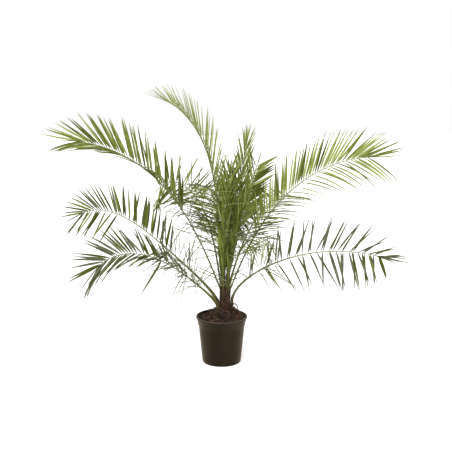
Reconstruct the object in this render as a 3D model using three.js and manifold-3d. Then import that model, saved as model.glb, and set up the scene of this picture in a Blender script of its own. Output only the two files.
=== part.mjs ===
// A young Canary Island date palm in a black nursery container.
// Millimetres, +Z up. The origin is the middle of the container's underside, +X is to the right of the
// side that is usually shown to the front, and +Y goes away from it.
import * as THREE from "three";
import { mergeVertices } from "three/addons/utils/BufferGeometryUtils.js";
import Module from "manifold-3d";

// The container: an injection-moulded pot of about 15 litres.
const POT_HEIGHT = 276;
const RIM_RADIUS = 149.5;
const RIM_ROUND = 3.5;
const BODY_TOP_RADIUS = 139;
const BASE_RADIUS = 113;
const BASE_EDGE = 7;
const POT_WALL = 3;
const LIP_HEIGHT = 11;
const COLLAR_HEIGHT = 42;
const COLLAR_STEP = 3.5;
const COLLAR_TOP_RADIUS = 145;
const DRAIN_RADIUS = 6;
const DRAIN_CIRCLE = 72;
const DRAIN_COUNT = 6;

// The soil stops a little below the rim, clear of the wall, and is heaped round the stem.
const SOIL_LEVEL = 263;
const SOIL_HEAP = 12;
const SOIL_CLEARANCE = 0.5;
const SOIL_EDGE_DROP = 4;
const SOIL_EDGE_WIDTH = 8;
const HEAP_MARGIN = 34;

// The stem: a swollen foot that old leaf bases still sheathe, and a short column under the crown.
const STEM_X = 20;
const FOOT_RADIUS = 60;
const COLUMN_RADIUS = 30;
const STEM_TOP = 450;
const TOP_RADIUS = 18.5;
const SHEATH_LENGTH = 44;
const STUB_COUNT = 14;
const STUB_LENGTH = 34;
const STUB_RADII = [11, 7];
const STUB_HEIGHTS = [32, 76];
const STUB_SLOPES = [38, 66];
const GOLDEN_ANGLE = 137.5;

// Touching pieces stay this far apart.
const GAP = 0.3;

// Leaflets: the step between pairs along the rib, the share of a leaflet's length where it is widest, its
// sizes, and how much higher or lower one may be raised where its own place is taken. The hook at a rib's
// foot dies away over its own share of the rib, and the golden share spreads the gaps in a thin row.
const PAIR_STEP = 30;
const WIDEST_AT = 0.36;
const LEAFLET_WIDTH = 22;
const LEAFLET_FOOT = 10;
const THICKNESS_SHARE = 0.013;
const HOOK_SHARE = 0.06;
const GOLDEN_SHARE = 0.618;
const OTHER_LIFTS = [0, 8, -8, 16, -16];
const PETIOLE_RINGS = 7;

// Each frond leaves its seat on the stem and bends over as it goes out. Pairs are [left, right] of the rib.
//   turn: the way it runs, degrees round from +X      seat: [degrees round, out from the stem's axis, up]
//   rise, end: slope of the rib at its foot and tip   bend: above 1, the rib stays steep and bends late
//   hook: how much steeper it leaves the stem         length: of the rib
//   base: width of the petiole at its foot            leafy: share of the rib where leaflets begin
//   leaf: length of the longest leaflet               tip: the outermost pair's length as a share of that
//   last: length of the single leaflet in line with the rib's tip, as a share of the longest
//   roll: the blade turned about its rib, [where leaflets begin, at the tip]
//   vee: how far both rows of leaflets are raised     wide: angle of the first leaflets to the rib
//   spread: a row's own share of that angle           narrow: angle of a row's outermost leaflet
//   sag: droop of a leaflet's tip
//   kept: the share of a row's leaflets that grow, at its first leaflet, half way and at the tip
const FRONDS = {
  frond_left_long: {
    turn: 186, seat: [186, 27, 440], rise: 69, end: 6, bend: 1.9, hook: 0, length: 1220, base: 15,
    leafy: 0.42, leaf: 270, tip: 0.78, last: 0.72, roll: [-10, -38], vee: 29, wide: 52, narrow: [8, 10],
    spread: [0.72, 1], sag: [0.06, 0], kept: [[0.5, 0.95, 1], [0.7, 0.95, 1]],
  },
  frond_left_low_back: {
    turn: 164, seat: [160, 46, 352], rise: 40, end: -26, bend: 4.4, hook: 30, length: 1040, base: 26,
    leafy: 0.39, leaf: 225, tip: 0.85, last: 0.7, roll: [-50, -88], vee: 24, wide: 66, narrow: [30, 14],
    spread: [1.35, 0.92], sag: [0.03, 0.04], kept: [[0, 0.05, 0.9], [0.6, 0.85, 1]],
  },
  frond_left_low_front: {
    turn: 196, seat: [204, 46, 352], rise: 42, end: -47, bend: 2.9, hook: 14, length: 810, base: 26,
    leafy: 0.3, leaf: 240, tip: 0.85, last: 0.75, roll: [3, -56], vee: 14, wide: 64, narrow: [12, 14],
    spread: [0.76, 1.02], sag: [0.15, 0.03], kept: [[0.1, 0.8, 0.9], [0.3, 0.85, 0.9]],
  },
  frond_left_tall: {
    turn: 164, seat: [185, 14, 455], rise: 87, end: 20, bend: 3.3, hook: 0, length: 1180, base: 9,
    leafy: 0.34, leaf: 260, tip: 0.32, last: 0.22, roll: [-12, -14], vee: 42, wide: 26, narrow: [20, 24],
    spread: [0.9, 0.95], sag: [0.02, 0], kept: [[0.8, 1, 1], [0.7, 0.9, 0.9]],
  },
  frond_left_back: {
    turn: 142, seat: [140, 27, 430], rise: 79, end: -42, bend: 2.8, hook: 0, length: 890, base: 12,
    leafy: 0.6, leaf: 220, tip: 0.7, last: 0.4, roll: [-50, -80], vee: 8, wide: 82, narrow: [50, 70],
    spread: [0.8, 1.05], sag: [0.05, 0], kept: [[0.2, 0.3, 0.5], [0.8, 1, 1]],
  },
  frond_right_long: {
    turn: 354, seat: [352, 27, 430], rise: 69, end: 2, bend: 1.73, hook: 0, length: 1175, base: 13,
    leafy: 0.31, leaf: 260, tip: 0.85, last: 0.8, roll: [46, 72], vee: 7, wide: 50, narrow: [10, 26],
    spread: [0.95, 0.92], sag: [0, 0.16], kept: [[0.7, 1, 1], [0.8, 0.8, 1]],
  },
  frond_right_low: {
    turn: 0, seat: [0, 40, 352], rise: 56, end: -14, bend: 0.74, hook: 44, length: 985, base: 22,
    leafy: 0.3, leaf: 250, tip: 0.75, last: 0.7, roll: [46, 88], vee: 14, wide: 76, narrow: [14, 60],
    spread: [0.83, 1.12], sag: [0, 0.04], kept: [[0.6, 0.6, 0.7], [0.1, 0.55, 1]],
  },
  frond_right_drooping: {
    turn: 322, seat: [318, 27, 430], rise: 74, end: -60, bend: 3.2, hook: 0, length: 520, base: 12,
    leafy: 0.5, leaf: 180, tip: 0.9, last: 0.6, roll: [10, 10], vee: -66, wide: 76, narrow: [40, 40],
    spread: [1, 1], sag: [0.1, 0.1], kept: [[1, 1, 1], [1, 1, 1]],
  },
  frond_back_tall: {
    turn: 50, seat: [50, 14, 455], rise: 79, end: 76, bend: 1, hook: 0, length: 840, base: 9,
    leafy: 0.46, leaf: 170, tip: 0.6, last: 0.6, roll: [0, 0], vee: 6, wide: 24, narrow: [10, 10],
    spread: [1, 1], sag: [0, 0], kept: [[0.42, 0.42, 0.42], [0.42, 0.42, 0.42]],
  },
  frond_back_right: {
    turn: 14, seat: [2, 14, 455], rise: 81, end: 71, bend: 1, hook: 0, length: 720, base: 9,
    leafy: 0.5, leaf: 175, tip: 0.9, last: 0.6, roll: [95, 100], vee: 6, wide: 42, narrow: [46, 46],
    spread: [0.5, 1], sag: [0.02, 0.02], kept: [[0.5, 0.5, 0.6], [1, 1, 1]],
  },
  frond_back_left: {
    turn: 60, seat: [124, 14, 455], rise: 86, end: 80, bend: 1, hook: 0, length: 660, base: 9,
    leafy: 0.4, leaf: 190, tip: 0.7, last: 0.5, roll: [0, 0], vee: 8, wide: 38, narrow: [24, 24],
    spread: [1, 1], sag: [0.02, 0.02], kept: [[1, 1, 1], [1, 1, 1]],
  },
  frond_back_low_left: {
    turn: 100, seat: [98, 27, 425], rise: 66, end: -14, bend: 1.6, hook: 0, length: 980, base: 13,
    leafy: 0.34, leaf: 230, tip: 0.7, last: 0.6, roll: [0, 0], vee: 14, wide: 66, narrow: [12, 12],
    spread: [1, 1], sag: [0.06, 0.06], kept: [[0.7, 0.9, 0.9], [0.7, 0.9, 0.9]],
  },
  frond_back_low_right: {
    turn: 55, seat: [54, 27, 425], rise: 62, end: -16, bend: 1.6, hook: 0, length: 960, base: 13,
    leafy: 0.34, leaf: 230, tip: 0.7, last: 0.6, roll: [10, 10], vee: 12, wide: 66, narrow: [12, 12],
    spread: [1, 1], sag: [0.07, 0.07], kept: [[0.7, 0.9, 0.9], [0.7, 0.9, 0.9]],
  },
  frond_front_arching: {
    turn: 250, seat: [232, 14, 455], rise: 89, end: -10, bend: 3.2, hook: 0, length: 720, base: 9,
    leafy: 0.36, leaf: 200, tip: 0.7, last: 0.6, roll: [0, 0], vee: 4, wide: 74, narrow: [30, 30],
    spread: [1, 1], sag: [0.1, 0.1], kept: [[0.4, 0.4, 0.4], [0.9, 0.9, 1]],
  },
  frond_front_left: {
    turn: 300, seat: [248, 28, 430], rise: 89, end: 76, bend: 2, hook: 0, length: 640, base: 12,
    leafy: 0.12, leaf: 200, tip: 0.7, last: 0.6, roll: [0, 0], vee: 6, wide: 24, narrow: [18, 18],
    spread: [1, 1], sag: [0.02, 0.02], kept: [[0.42, 0.42, 0.42], [0.42, 0.42, 0.42]],
  },
  frond_front_right: {
    turn: 332, seat: [290, 27, 430], rise: 82, end: 72, bend: 1, hook: 0, length: 620, base: 11,
    leafy: 0.12, leaf: 200, tip: 0.7, last: 0.6, roll: [0, 0], vee: 10, wide: 24, narrow: [18, 18],
    spread: [1, 1], sag: [0.02, 0.02], kept: [[0.42, 0.42, 0.42], [0.42, 0.42, 0.42]],
  },
};

// The newest leaf, still a closed sword that stands in the middle of the crown.
const SPEAR = {
  turn: 350, seat: [302, 14, 455], rise: 87, end: 87, bend: 1, hook: 0, length: 690, base: 9,
  width: 32, depth: 12,
};

const UP = new THREE.Vector3(0, 0, 1);
const { lerp, degToRad, smoothstep } = THREE.MathUtils;
const cosd = (degrees) => Math.cos(degToRad(degrees));
const sind = (degrees) => Math.sin(degToRad(degrees));

const wasm = await Module();
wasm.setup();

// A closed geometry as a manifold-3d solid.
function toSolid(geometry) {
  const bare = geometry.clone();
  bare.deleteAttribute("normal");
  bare.deleteAttribute("uv");
  const merged = mergeVertices(bare, 1e-3);
  return new wasm.Manifold(new wasm.Mesh({
    numProp: 3,
    vertProperties: new Float32Array(merged.attributes.position.array),
    triVerts: new Uint32Array(merged.index.array),
  }));
}

function toGeometry(solid) {
  const mesh = solid.getMesh();
  const geometry = new THREE.BufferGeometry();
  geometry.setAttribute("position", new THREE.BufferAttribute(mesh.vertProperties, 3));
  geometry.setIndex(new THREE.BufferAttribute(mesh.triVerts, 1));
  return geometry;
}

// A skin is a list of corners and of triangles between them, filled in by the functions below.
const newSkin = () => ({ corners: [], faces: [] });

function corner(skin, point) {
  skin.corners.push(point.x, point.y, point.z);
  return skin.corners.length / 3 - 1;
}

// A fan over a ring of corners. Corners that repeat, where a ring narrows, make no triangle.
function fan(skin, ring) {
  for (let i = 1; i < ring.length - 1; i += 1) {
    const face = [ring[0], ring[i], ring[i + 1]];
    if (new Set(face).size === 3) skin.faces.push(...face);
  }
}

// A band of faces from one ring to the next, or to one point when the second is a single corner.
function band(skin, from, to) {
  const last = Array.isArray(to) ? to : from.map(() => to);
  from.forEach((a, i) => {
    const j = (i + 1) % from.length;
    if (a !== from[j]) fan(skin, [a, from[j], last[j], last[i]]);
    else if (last[i] !== last[j]) fan(skin, [a, last[j], last[i]]);
  });
}

function skinGeometry(skin) {
  const geometry = new THREE.BufferGeometry();
  geometry.setAttribute("position", new THREE.Float32BufferAttribute(skin.corners, 3));
  geometry.setIndex(skin.faces);
  return geometry;
}

// A surface of revolution about a vertical axis at x, from a closed half outline of [radius, height].
function turned(outline, segments, x = 0) {
  const points = outline.map(([radius, height]) => new THREE.Vector2(radius, height));
  return new THREE.LatheGeometry(points, segments).rotateX(Math.PI / 2).translate(x, 0, 0);
}

// Points on a quarter turn from [r, z] centre, for rounded edges of a half outline.
function rounded(centreR, centreZ, radius, fromDegrees, toDegrees, steps) {
  return Array.from({ length: steps + 1 }, (_, i) => {
    const a = lerp(fromDegrees, toDegrees, i / steps);
    return [centreR + radius * cosd(a), centreZ + radius * sind(a)];
  });
}

// Heights where the lip and the collar under it begin.
const LIP_FOOT = POT_HEIGHT - LIP_HEIGHT;
const COLLAR_FOOT = LIP_FOOT - COLLAR_HEIGHT;

// Outer radius of the container's plain wall at a height.
const bodyRadius = (z) => lerp(BASE_RADIUS, BODY_TOP_RADIUS, z / LIP_FOOT);

// The wall from a height up to the lip, moved in by a distance: the plain part, a step, then the collar.
const wallOutline = (inwards, foot) => [
  [bodyRadius(foot) - inwards, foot],
  [bodyRadius(COLLAR_FOOT) - inwards, COLLAR_FOOT],
  [bodyRadius(COLLAR_FOOT) + COLLAR_STEP - inwards, COLLAR_FOOT + COLLAR_STEP],
  [COLLAR_TOP_RADIUS - inwards, LIP_FOOT],
];

function makePot() {
  const outline = [
    [0, 0],
    ...rounded(BASE_RADIUS - BASE_EDGE, BASE_EDGE, BASE_EDGE, -90, -6, 4),
    ...wallOutline(0, BASE_EDGE).slice(1),
    [RIM_RADIUS - 2, LIP_FOOT],
    [RIM_RADIUS, LIP_FOOT + 2],
    ...rounded(RIM_RADIUS - RIM_ROUND, POT_HEIGHT - RIM_ROUND, RIM_ROUND, 0, 90, 3),
    ...rounded(COLLAR_TOP_RADIUS - POT_WALL + RIM_ROUND, POT_HEIGHT - RIM_ROUND, RIM_ROUND, 90, 180, 3),
    ...wallOutline(POT_WALL, POT_WALL).reverse(),
    [0, POT_WALL],
  ];
  let pot = toSolid(turned(outline, 48));
  for (let i = 0; i < DRAIN_COUNT; i += 1) {
    const angle = (360 * (i + 0.5)) / DRAIN_COUNT;
    const drain = new THREE.CylinderGeometry(DRAIN_RADIUS, DRAIN_RADIUS, 4 * POT_WALL, 12);
    drain.rotateX(Math.PI / 2).translate(DRAIN_CIRCLE * cosd(angle), DRAIN_CIRCLE * sind(angle), 0);
    pot = pot.subtract(toSolid(drain));
  }
  return toGeometry(pot);
}

function makeSoil() {
  const floor = POT_WALL + GAP;
  const wall = wallOutline(POT_WALL + SOIL_CLEARANCE, floor);
  const [stepRadius, stepHeight] = wall[2];
  const edgeHeight = SOIL_LEVEL - SOIL_EDGE_DROP;
  const edgeRadius = lerp(stepRadius, wall[3][0], (edgeHeight - stepHeight) / (LIP_FOOT - stepHeight));
  return turned([
    [0, floor],
    ...wall.slice(0, 3),
    [edgeRadius, edgeHeight],
    [edgeRadius - SOIL_EDGE_WIDTH, SOIL_LEVEL],
    [FOOT_RADIUS + HEAP_MARGIN, SOIL_LEVEL + SOIL_HEAP],
    [0, SOIL_LEVEL + SOIL_HEAP],
  ], 48);
}

// The slope of a frond's rib and the way it runs, at a share of its length.
const slopeAt = (frond, share) =>
  lerp(frond.rise, frond.end, share ** frond.bend) + frond.hook * Math.exp(-share / HOOK_SHARE);

function alongAt(frond, share) {
  const slope = slopeAt(frond, share);
  return new THREE.Vector3(
    cosd(slope) * cosd(frond.turn),
    cosd(slope) * sind(frond.turn),
    sind(slope),
  );
}

function seatOf(frond) {
  const [round, out, up] = frond.seat;
  return new THREE.Vector3(STEM_X + out * cosd(round), out * sind(round), up);
}

// The rib as short straight steps from the seat, each along the rib's slope in its middle.
const RIB_STEPS = 96;
function ribPath(frond) {
  const points = [seatOf(frond).addScaledVector(alongAt(frond, 0), GAP)];
  for (let i = 0; i < RIB_STEPS; i += 1) {
    const step = alongAt(frond, (i + 0.5) / RIB_STEPS).multiplyScalar(frond.length / RIB_STEPS);
    points.push(points[i].clone().add(step));
  }
  return points;
}

// Where the rib is at a share of its length, with its own three directions. The blade's roll comes in
// along the petiole, so that the petiole's foot sits square on the stem, and goes on towards the tip.
function ribFrame(frond, path, share) {
  const place = Math.min(share, 1) * RIB_STEPS;
  const first = Math.min(Math.floor(place), RIB_STEPS - 1);
  const point = path[first].clone().lerp(path[first + 1], place - first);
  const along = alongAt(frond, share);
  const level = new THREE.Vector3(-sind(frond.turn), cosd(frond.turn), 0);
  const square = along.clone().cross(level).normalize();
  const onward = Math.max(0, share - frond.leafy) / (1 - frond.leafy);
  const roll = lerp(frond.roll[0], frond.roll[1], onward) * smoothstep(share, 0, frond.leafy);
  const side = level.clone().multiplyScalar(cosd(roll)).addScaledVector(square, sind(roll));
  const up = square.clone().multiplyScalar(cosd(roll)).addScaledVector(level, -sind(roll));
  return { point, along, side, up };
}

// Half the rib's width at a share of its length: it narrows fast from its foot, then evenly.
function ribHalfWidth(frond, share) {
  const even = lerp(6.2, 2, share);
  return even + (Math.max(frond.base / 2, 4.2) - even) * Math.exp(-share / 0.12);
}

// A three-sided ring of the rib: right, keel, left.
function ribRing(skin, frond, path, share) {
  const { point, side, up } = ribFrame(frond, path, share);
  const half = ribHalfWidth(frond, share);
  const offsets = [[-half, half / 2], [0, -half], [half, half / 2]];
  return offsets.map(([across, high]) =>
    corner(skin, point.clone().addScaledVector(side, across).addScaledVector(up, high)));
}

// The rule that leaflets follow. They start at even steps along the rib, make a smaller angle with it
// towards the tip, are raised a little above the blade's plane and droop by the square of the distance.
function leafletAt(frond, path, share, hand, extraLift) {
  const along = (share - frond.leafy) / (1 - frond.leafy);
  const row = hand > 0 ? 0 : 1;
  const frame = ribFrame(frond, path, share);
  const angle = lerp(frond.wide * frond.spread[row], frond.narrow[row], along ** 5);
  const lift = frond.vee * (1 - 0.5 * along) + extraLift;
  const way = frame.along.clone().multiplyScalar(cosd(angle))
    .addScaledVector(frame.side, hand * sind(angle) * cosd(lift))
    .addScaledVector(frame.up, sind(angle) * sind(lift));
  const length = frond.leaf * Math.min(1, 0.85 + along) * lerp(1, frond.tip, along ** 5);
  const point = (part) => frame.point.clone()
    .addScaledVector(way, length * part)
    .addScaledVector(UP, -frond.sag[row] * length * part * part);
  const face = frame.up.clone().multiplyScalar(cosd(lift)).addScaledVector(frame.side, -hand * sind(lift));
  const across = face.clone().cross(way).normalize().multiplyScalar(-hand);
  return { share, hand, point, face, across, length, width: LEAFLET_WIDTH * lerp(1, 0.6, along) };
}

// Fuses a leaflet onto the side of the rib between two rings: its foot is that side, its widest ring has
// an edge nearer the frond's foot, a keel and a far edge, and it ends in a point.
function growLeaflet(skin, back, front, leaflet, extra = 0) {
  const middle = leaflet.point(WIDEST_AT).addScaledVector(leaflet.face, extra);
  const half = leaflet.width / 2 + extra;
  const thick = leaflet.length * THICKNESS_SHARE + 2 * extra;
  const near = corner(skin, middle.clone().addScaledVector(leaflet.across, -half));
  const far = corner(skin, middle.clone().addScaledVector(leaflet.across, half));
  const keel = corner(skin, middle.clone().addScaledVector(leaflet.face, -thick));
  const tip = corner(skin, leaflet.point(1 + extra / leaflet.length));
  const ring = leaflet.hand > 0 ? [keel, near, far, keel] : [near, keel, keel, far];
  const foot = footOf(back, front, leaflet.hand);
  band(skin, foot, ring);
  band(skin, ring, tip);
  return foot;
}

// The four corners of the rib's left or right side between two rings.
function footOf(back, front, hand) {
  const [a, b] = hand > 0 ? [1, 2] : [0, 1];
  return [back[a], back[b], front[b], front[a]];
}

// Half of a leaflet's foot as a share of the rib's length.
const footReach = (frond) => LEAFLET_FOOT / 2 / frond.length;

// A leaflet by itself, a little fatter than it will be, to try whether its place is free.
const TRIAL_EXTRA = 0.5;
function trialSolid(frond, path, leaflet) {
  const skin = newSkin();
  const back = ribRing(skin, frond, path, leaflet.share - footReach(frond));
  const front = ribRing(skin, frond, path, leaflet.share + footReach(frond));
  const foot = growLeaflet(skin, back, front, leaflet, TRIAL_EXTRA);
  fan(skin, foot.reverse());
  return toSolid(skinGeometry(skin));
}

// The shares of the rib where pairs of leaflets start.
function pairShares(frond) {
  const leafyPart = 1 - frond.leafy;
  const pairs = Math.round((leafyPart * frond.length) / PAIR_STEP);
  return Array.from({ length: pairs }, (_, i) => frond.leafy + (leafyPart * (i + 0.5)) / pairs);
}

// Whether the leaflet with a number grows, where its row keeps only some of them.
function isKept(frond, number, share, hand) {
  const [first, middle, last] = frond.kept[hand > 0 ? 0 : 1];
  const along = (2 * (share - frond.leafy)) / (1 - frond.leafy);
  const kept = along < 1 ? lerp(first, middle, along) : lerp(middle, last, along - 1);
  return (number * GOLDEN_SHARE) % 1 < kept;
}

// A whole frond in one skin. chosen(share, hand) gives the leaflet that grows there, or nothing.
function frondGeometry(frond, path, chosen) {
  const skin = newSkin();
  let ring = ribRing(skin, frond, path, 0);
  fan(skin, [...ring].reverse());
  const goOn = (share) => {
    const next = ribRing(skin, frond, path, share);
    band(skin, ring, next);
    ring = next;
  };
  const shares = pairShares(frond);
  for (let i = 1; i <= PETIOLE_RINGS; i += 1) goOn((shares[0] * i) / (PETIOLE_RINGS + 1));
  shares.forEach((share, number) => {
    goOn(share - footReach(frond));
    const next = ribRing(skin, frond, path, share + footReach(frond));
    fan(skin, [ring[2], ring[0], next[0], next[2]]);
    [1, -1].forEach((hand) => {
      const leaflet = isKept(frond, number, share, hand) ? chosen(share, hand) : null;
      if (leaflet) growLeaflet(skin, ring, next, leaflet);
      else fan(skin, footOf(ring, next, hand));
    });
    ring = next;
  });
  goOn(1);
  const reach = frond.last * frond.leaf;
  const tip = path[RIB_STEPS].clone().addScaledVector(alongAt(frond, 1), reach);
  tip.addScaledVector(UP, -frond.sag[0] * reach);
  band(skin, ring, corner(skin, tip));
  return skinGeometry(skin);
}

const boxesApart = (a, b) => [0, 1, 2].some((i) => a.max[i] < b.min[i] || b.max[i] < a.min[i]);

// Whether two solids share any space.
function touch(a, b) {
  if (boxesApart(a.boundingBox(), b.boundingBox())) return false;
  return a.intersect(b).volume() > 0;
}

// Every frond's rib by itself, before any leaflet grows on it.
function standRibs() {
  return Object.entries(FRONDS).map(([name, frond]) => {
    const path = ribPath(frond);
    return { name, frond, path, solid: toSolid(frondGeometry(frond, path, () => null)) };
  });
}

// The fronds one after the other get the leaflets whose place is free of the stem and the spear, of every
// other rib and of the leaflets before them, tried at their own lift first and then a little aside.
function growFronds(fronds, fixed) {
  fronds.forEach((one) => {
    const others = [...fixed, ...fronds.filter((other) => other !== one).map(({ solid }) => solid)];
    const isFree = (leaflet) => {
      const trial = trialSolid(one.frond, one.path, leaflet);
      return !others.some((other) => touch(trial, other));
    };
    const chosen = (share, hand) => OTHER_LIFTS
      .map((extraLift) => leafletAt(one.frond, one.path, share, hand, extraLift))
      .find(isFree);
    one.solid = toSolid(frondGeometry(one.frond, one.path, chosen));
  });
}

// A slim closed blade, four-sided, widest below its tip.
function makeSpear() {
  const skin = newSkin();
  const way = alongAt(SPEAR, 0);
  const side = new THREE.Vector3(0, 1, 0).cross(way).normalize();
  const front = way.clone().cross(side);
  const foot = seatOf(SPEAR).addScaledVector(way, GAP);
  const ringAt = (share, size) => {
    const middle = foot.clone().addScaledVector(way, SPEAR.length * share);
    const offsets = [[1, 0], [0, 1], [-1, 0], [0, -1]];
    return offsets.map(([a, b]) => corner(skin, middle.clone()
      .addScaledVector(side, (a * size * SPEAR.width) / 2)
      .addScaledVector(front, (b * size * SPEAR.depth) / 2)));
  };
  const swell = [[0, 0.36], [0.12, 0.45], [0.5, 0.75], [0.8, 1]];
  const rings = swell.map(([share, size]) => ringAt(share, size));
  fan(skin, [...rings[0]].reverse());
  for (let i = 1; i < rings.length; i += 1) band(skin, rings[i - 1], rings[i]);
  band(skin, rings[rings.length - 1], corner(skin, foot.clone().addScaledVector(way, SPEAR.length)));
  return skinGeometry(skin);
}

// A tapered six-sided block whose far end is centred on a point and squarely faces a direction.
function block(end, way, length, footRadius, endRadius) {
  const geometry = new THREE.CylinderGeometry(endRadius, footRadius, length, 6);
  const turn = new THREE.Quaternion().setFromUnitVectors(new THREE.Vector3(0, 1, 0), way);
  const middle = end.clone().addScaledVector(way, -length / 2);
  return toSolid(geometry.applyQuaternion(turn).translate(middle.x, middle.y, middle.z));
}

// The stem: a turned body with a flared foot, the sheath that each petiole sits on, and the short ends of
// the leaves that were cut away, which go round the foot by the golden angle.
function makeStem(ribs) {
  const cut = SOIL_LEVEL + SOIL_HEAP + GAP;
  const body = turned([
    [0, cut],
    [FOOT_RADIUS, cut],
    [FOOT_RADIUS - 3, cut + 14],
    [FOOT_RADIUS - 11, cut + 32],
    [FOOT_RADIUS - 22, cut + 48],
    [COLUMN_RADIUS + 2, cut + 66],
    [COLUMN_RADIUS, cut + 100],
    [COLUMN_RADIUS - 2, cut + 130],
    [TOP_RADIUS + 2, cut + 158],
    [TOP_RADIUS, STEM_TOP],
    [0, STEM_TOP],
  ], 20, STEM_X);
  let stem = toSolid(body);
  [...Object.values(FRONDS), SPEAR].forEach((frond) => {
    const endRadius = frond.base / 2 + 1;
    stem = stem.add(block(seatOf(frond), alongAt(frond, 0), SHEATH_LENGTH, endRadius * 1.5, endRadius));
  });
  const [stubFoot, stubEnd] = STUB_RADII;
  for (let i = 0; i < STUB_COUNT; i += 1) {
    const round = GOLDEN_ANGLE * i;
    const high = i / (STUB_COUNT - 1);
    const slope = lerp(...STUB_SLOPES, high);
    const way = new THREE.Vector3(cosd(slope) * cosd(round), cosd(slope) * sind(round), sind(slope));
    const out = lerp(FOOT_RADIUS + 2, COLUMN_RADIUS + 10, high);
    const up = cut + lerp(...STUB_HEIGHTS, high);
    const end = new THREE.Vector3(STEM_X + out * cosd(round), out * sind(round), up);
    const trial = block(end, way, STUB_LENGTH, stubFoot + 1, stubEnd + 1);
    if (ribs.some((rib) => touch(trial, rib))) continue;
    stem = stem.add(block(end, way, STUB_LENGTH, stubFoot, stubEnd));
  }
  return stem;
}

const MATERIALS = {
  pot: { color: 0x1d1a19, roughness: 0.45, metalness: 0 },
  soil: { color: 0x2c211b, roughness: 1, metalness: 0 },
  stem: { color: 0x5a4433, roughness: 0.9, metalness: 0 },
  leaf: { color: 0x74853f, roughness: 0.55, metalness: 0 },
};

function named(name, geometry, material) {
  const mesh = new THREE.Mesh(geometry, new THREE.MeshStandardMaterial(MATERIALS[material]));
  mesh.name = name;
  return mesh;
}

const fronds = standRibs();
const stem = makeStem(fronds.map(({ solid }) => solid));
const spear = makeSpear();
growFronds(fronds, [stem, toSolid(spear)]);

const palm = new THREE.Group();
palm.name = "potted_date_palm";
palm.add(named("pot", makePot(), "pot"));
palm.add(named("soil", makeSoil(), "soil"));
palm.add(named("stem", toGeometry(stem), "stem"));
fronds.forEach(({ name, solid }) => palm.add(named(name, toGeometry(solid), "leaf")));
palm.add(named("spear_leaf", spear, "leaf"));

export default palm;
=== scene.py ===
"""A young Canary Island date palm in its nursery container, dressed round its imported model.
Metres, +Z up. The origin is the middle of the container's underside and +Y goes away from the viewer."""
import math

import bpy
import numpy as np
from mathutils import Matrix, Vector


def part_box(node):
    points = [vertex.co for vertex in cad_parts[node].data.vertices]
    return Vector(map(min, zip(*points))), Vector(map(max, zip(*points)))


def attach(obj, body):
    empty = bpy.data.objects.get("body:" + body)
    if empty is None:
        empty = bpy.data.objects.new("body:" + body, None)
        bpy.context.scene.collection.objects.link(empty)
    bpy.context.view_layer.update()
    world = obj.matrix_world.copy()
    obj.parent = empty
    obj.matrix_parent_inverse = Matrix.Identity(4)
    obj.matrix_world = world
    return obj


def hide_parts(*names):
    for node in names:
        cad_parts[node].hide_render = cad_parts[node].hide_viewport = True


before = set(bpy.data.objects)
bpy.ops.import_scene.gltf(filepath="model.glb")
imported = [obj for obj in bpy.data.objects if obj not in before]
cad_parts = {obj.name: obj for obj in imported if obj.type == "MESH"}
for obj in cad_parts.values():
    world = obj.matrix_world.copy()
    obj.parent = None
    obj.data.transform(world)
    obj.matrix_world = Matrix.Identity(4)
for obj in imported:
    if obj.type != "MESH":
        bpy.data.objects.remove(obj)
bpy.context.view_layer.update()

# The container. A nursery pot of black polypropylene, injection-moulded in one piece: a tapered wall with
# a collar and a rolled lip at the top, a rounded foot, and six drain holes in the floor. Its size is the
# packed pot's.
POT_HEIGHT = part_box("pot")[1][2]
RIM_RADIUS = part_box("pot")[1][0]
RIM_ROUND = 0.0035
BODY_TOP_RADIUS = 0.139
BASE_RADIUS = 0.113
BASE_EDGE = 0.007
POT_WALL = 0.003
LIP_FOOT = POT_HEIGHT - 0.011
COLLAR_FOOT = LIP_FOOT - 0.042
COLLAR_STEP = 0.0035
COLLAR_TOP_RADIUS = 0.145
DRAIN_RADIUS = 0.006
DRAIN_CIRCLE = 0.072
DRAIN_COUNT = 6
POT_SEGMENTS = 160


def arc(centre_r, centre_z, radius, start, end, steps):
    """Points centre + radius (cos a, sin a), with a even from start to end in degrees."""
    a = np.radians(np.linspace(start, end, steps + 1))
    return np.column_stack([centre_r + radius * np.cos(a), centre_z + radius * np.sin(a)])


def ring_quads(index):
    """Quads between each ring of point numbers and the next. A ring runs along the last axis and is
    closed, and the rings of one shape follow each other along the axis before it."""
    after = np.roll(index, -1, axis=-1)
    corners = [index[..., :-1, :], after[..., :-1, :], after[..., 1:, :], index[..., 1:, :]]
    return np.stack(corners, axis=-1).reshape(-1, 4)


def turned(profile, count, wobble=None):
    """A profile of (r, z), from pole to pole upwards on the outside, carried round the Z axis in count
    steps: point (i, j) is (r_i cos t_j, r_i sin t_j, z_i) with t_j = 2 pi j / count."""
    t = 2 * np.pi * np.arange(count) / count
    r, z = profile[1:-1, 0, None], profile[1:-1, 1, None]
    grid = np.stack([r * np.cos(t), r * np.sin(t), z + 0 * t], axis=-1)
    if wobble is not None:
        grid = wobble(grid)
    poles = np.array([[0, 0, profile[0, 1]], [0, 0, profile[-1, 1]]])
    index = np.arange(len(grid) * count).reshape(-1, count)
    foot = np.column_stack([np.full(count, index.size), np.roll(index[0], -1), index[0]])
    head = np.column_stack([np.full(count, index.size + 1), index[-1], np.roll(index[-1], -1)])
    return np.vstack([grid.reshape(-1, 3), poles]), [ring_quads(index), foot, head]


def placed(name, data):
    """A new object in the scene, at the origin."""
    made = bpy.data.objects.new(name, data)
    bpy.context.scene.collection.objects.link(made)
    return made


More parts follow.
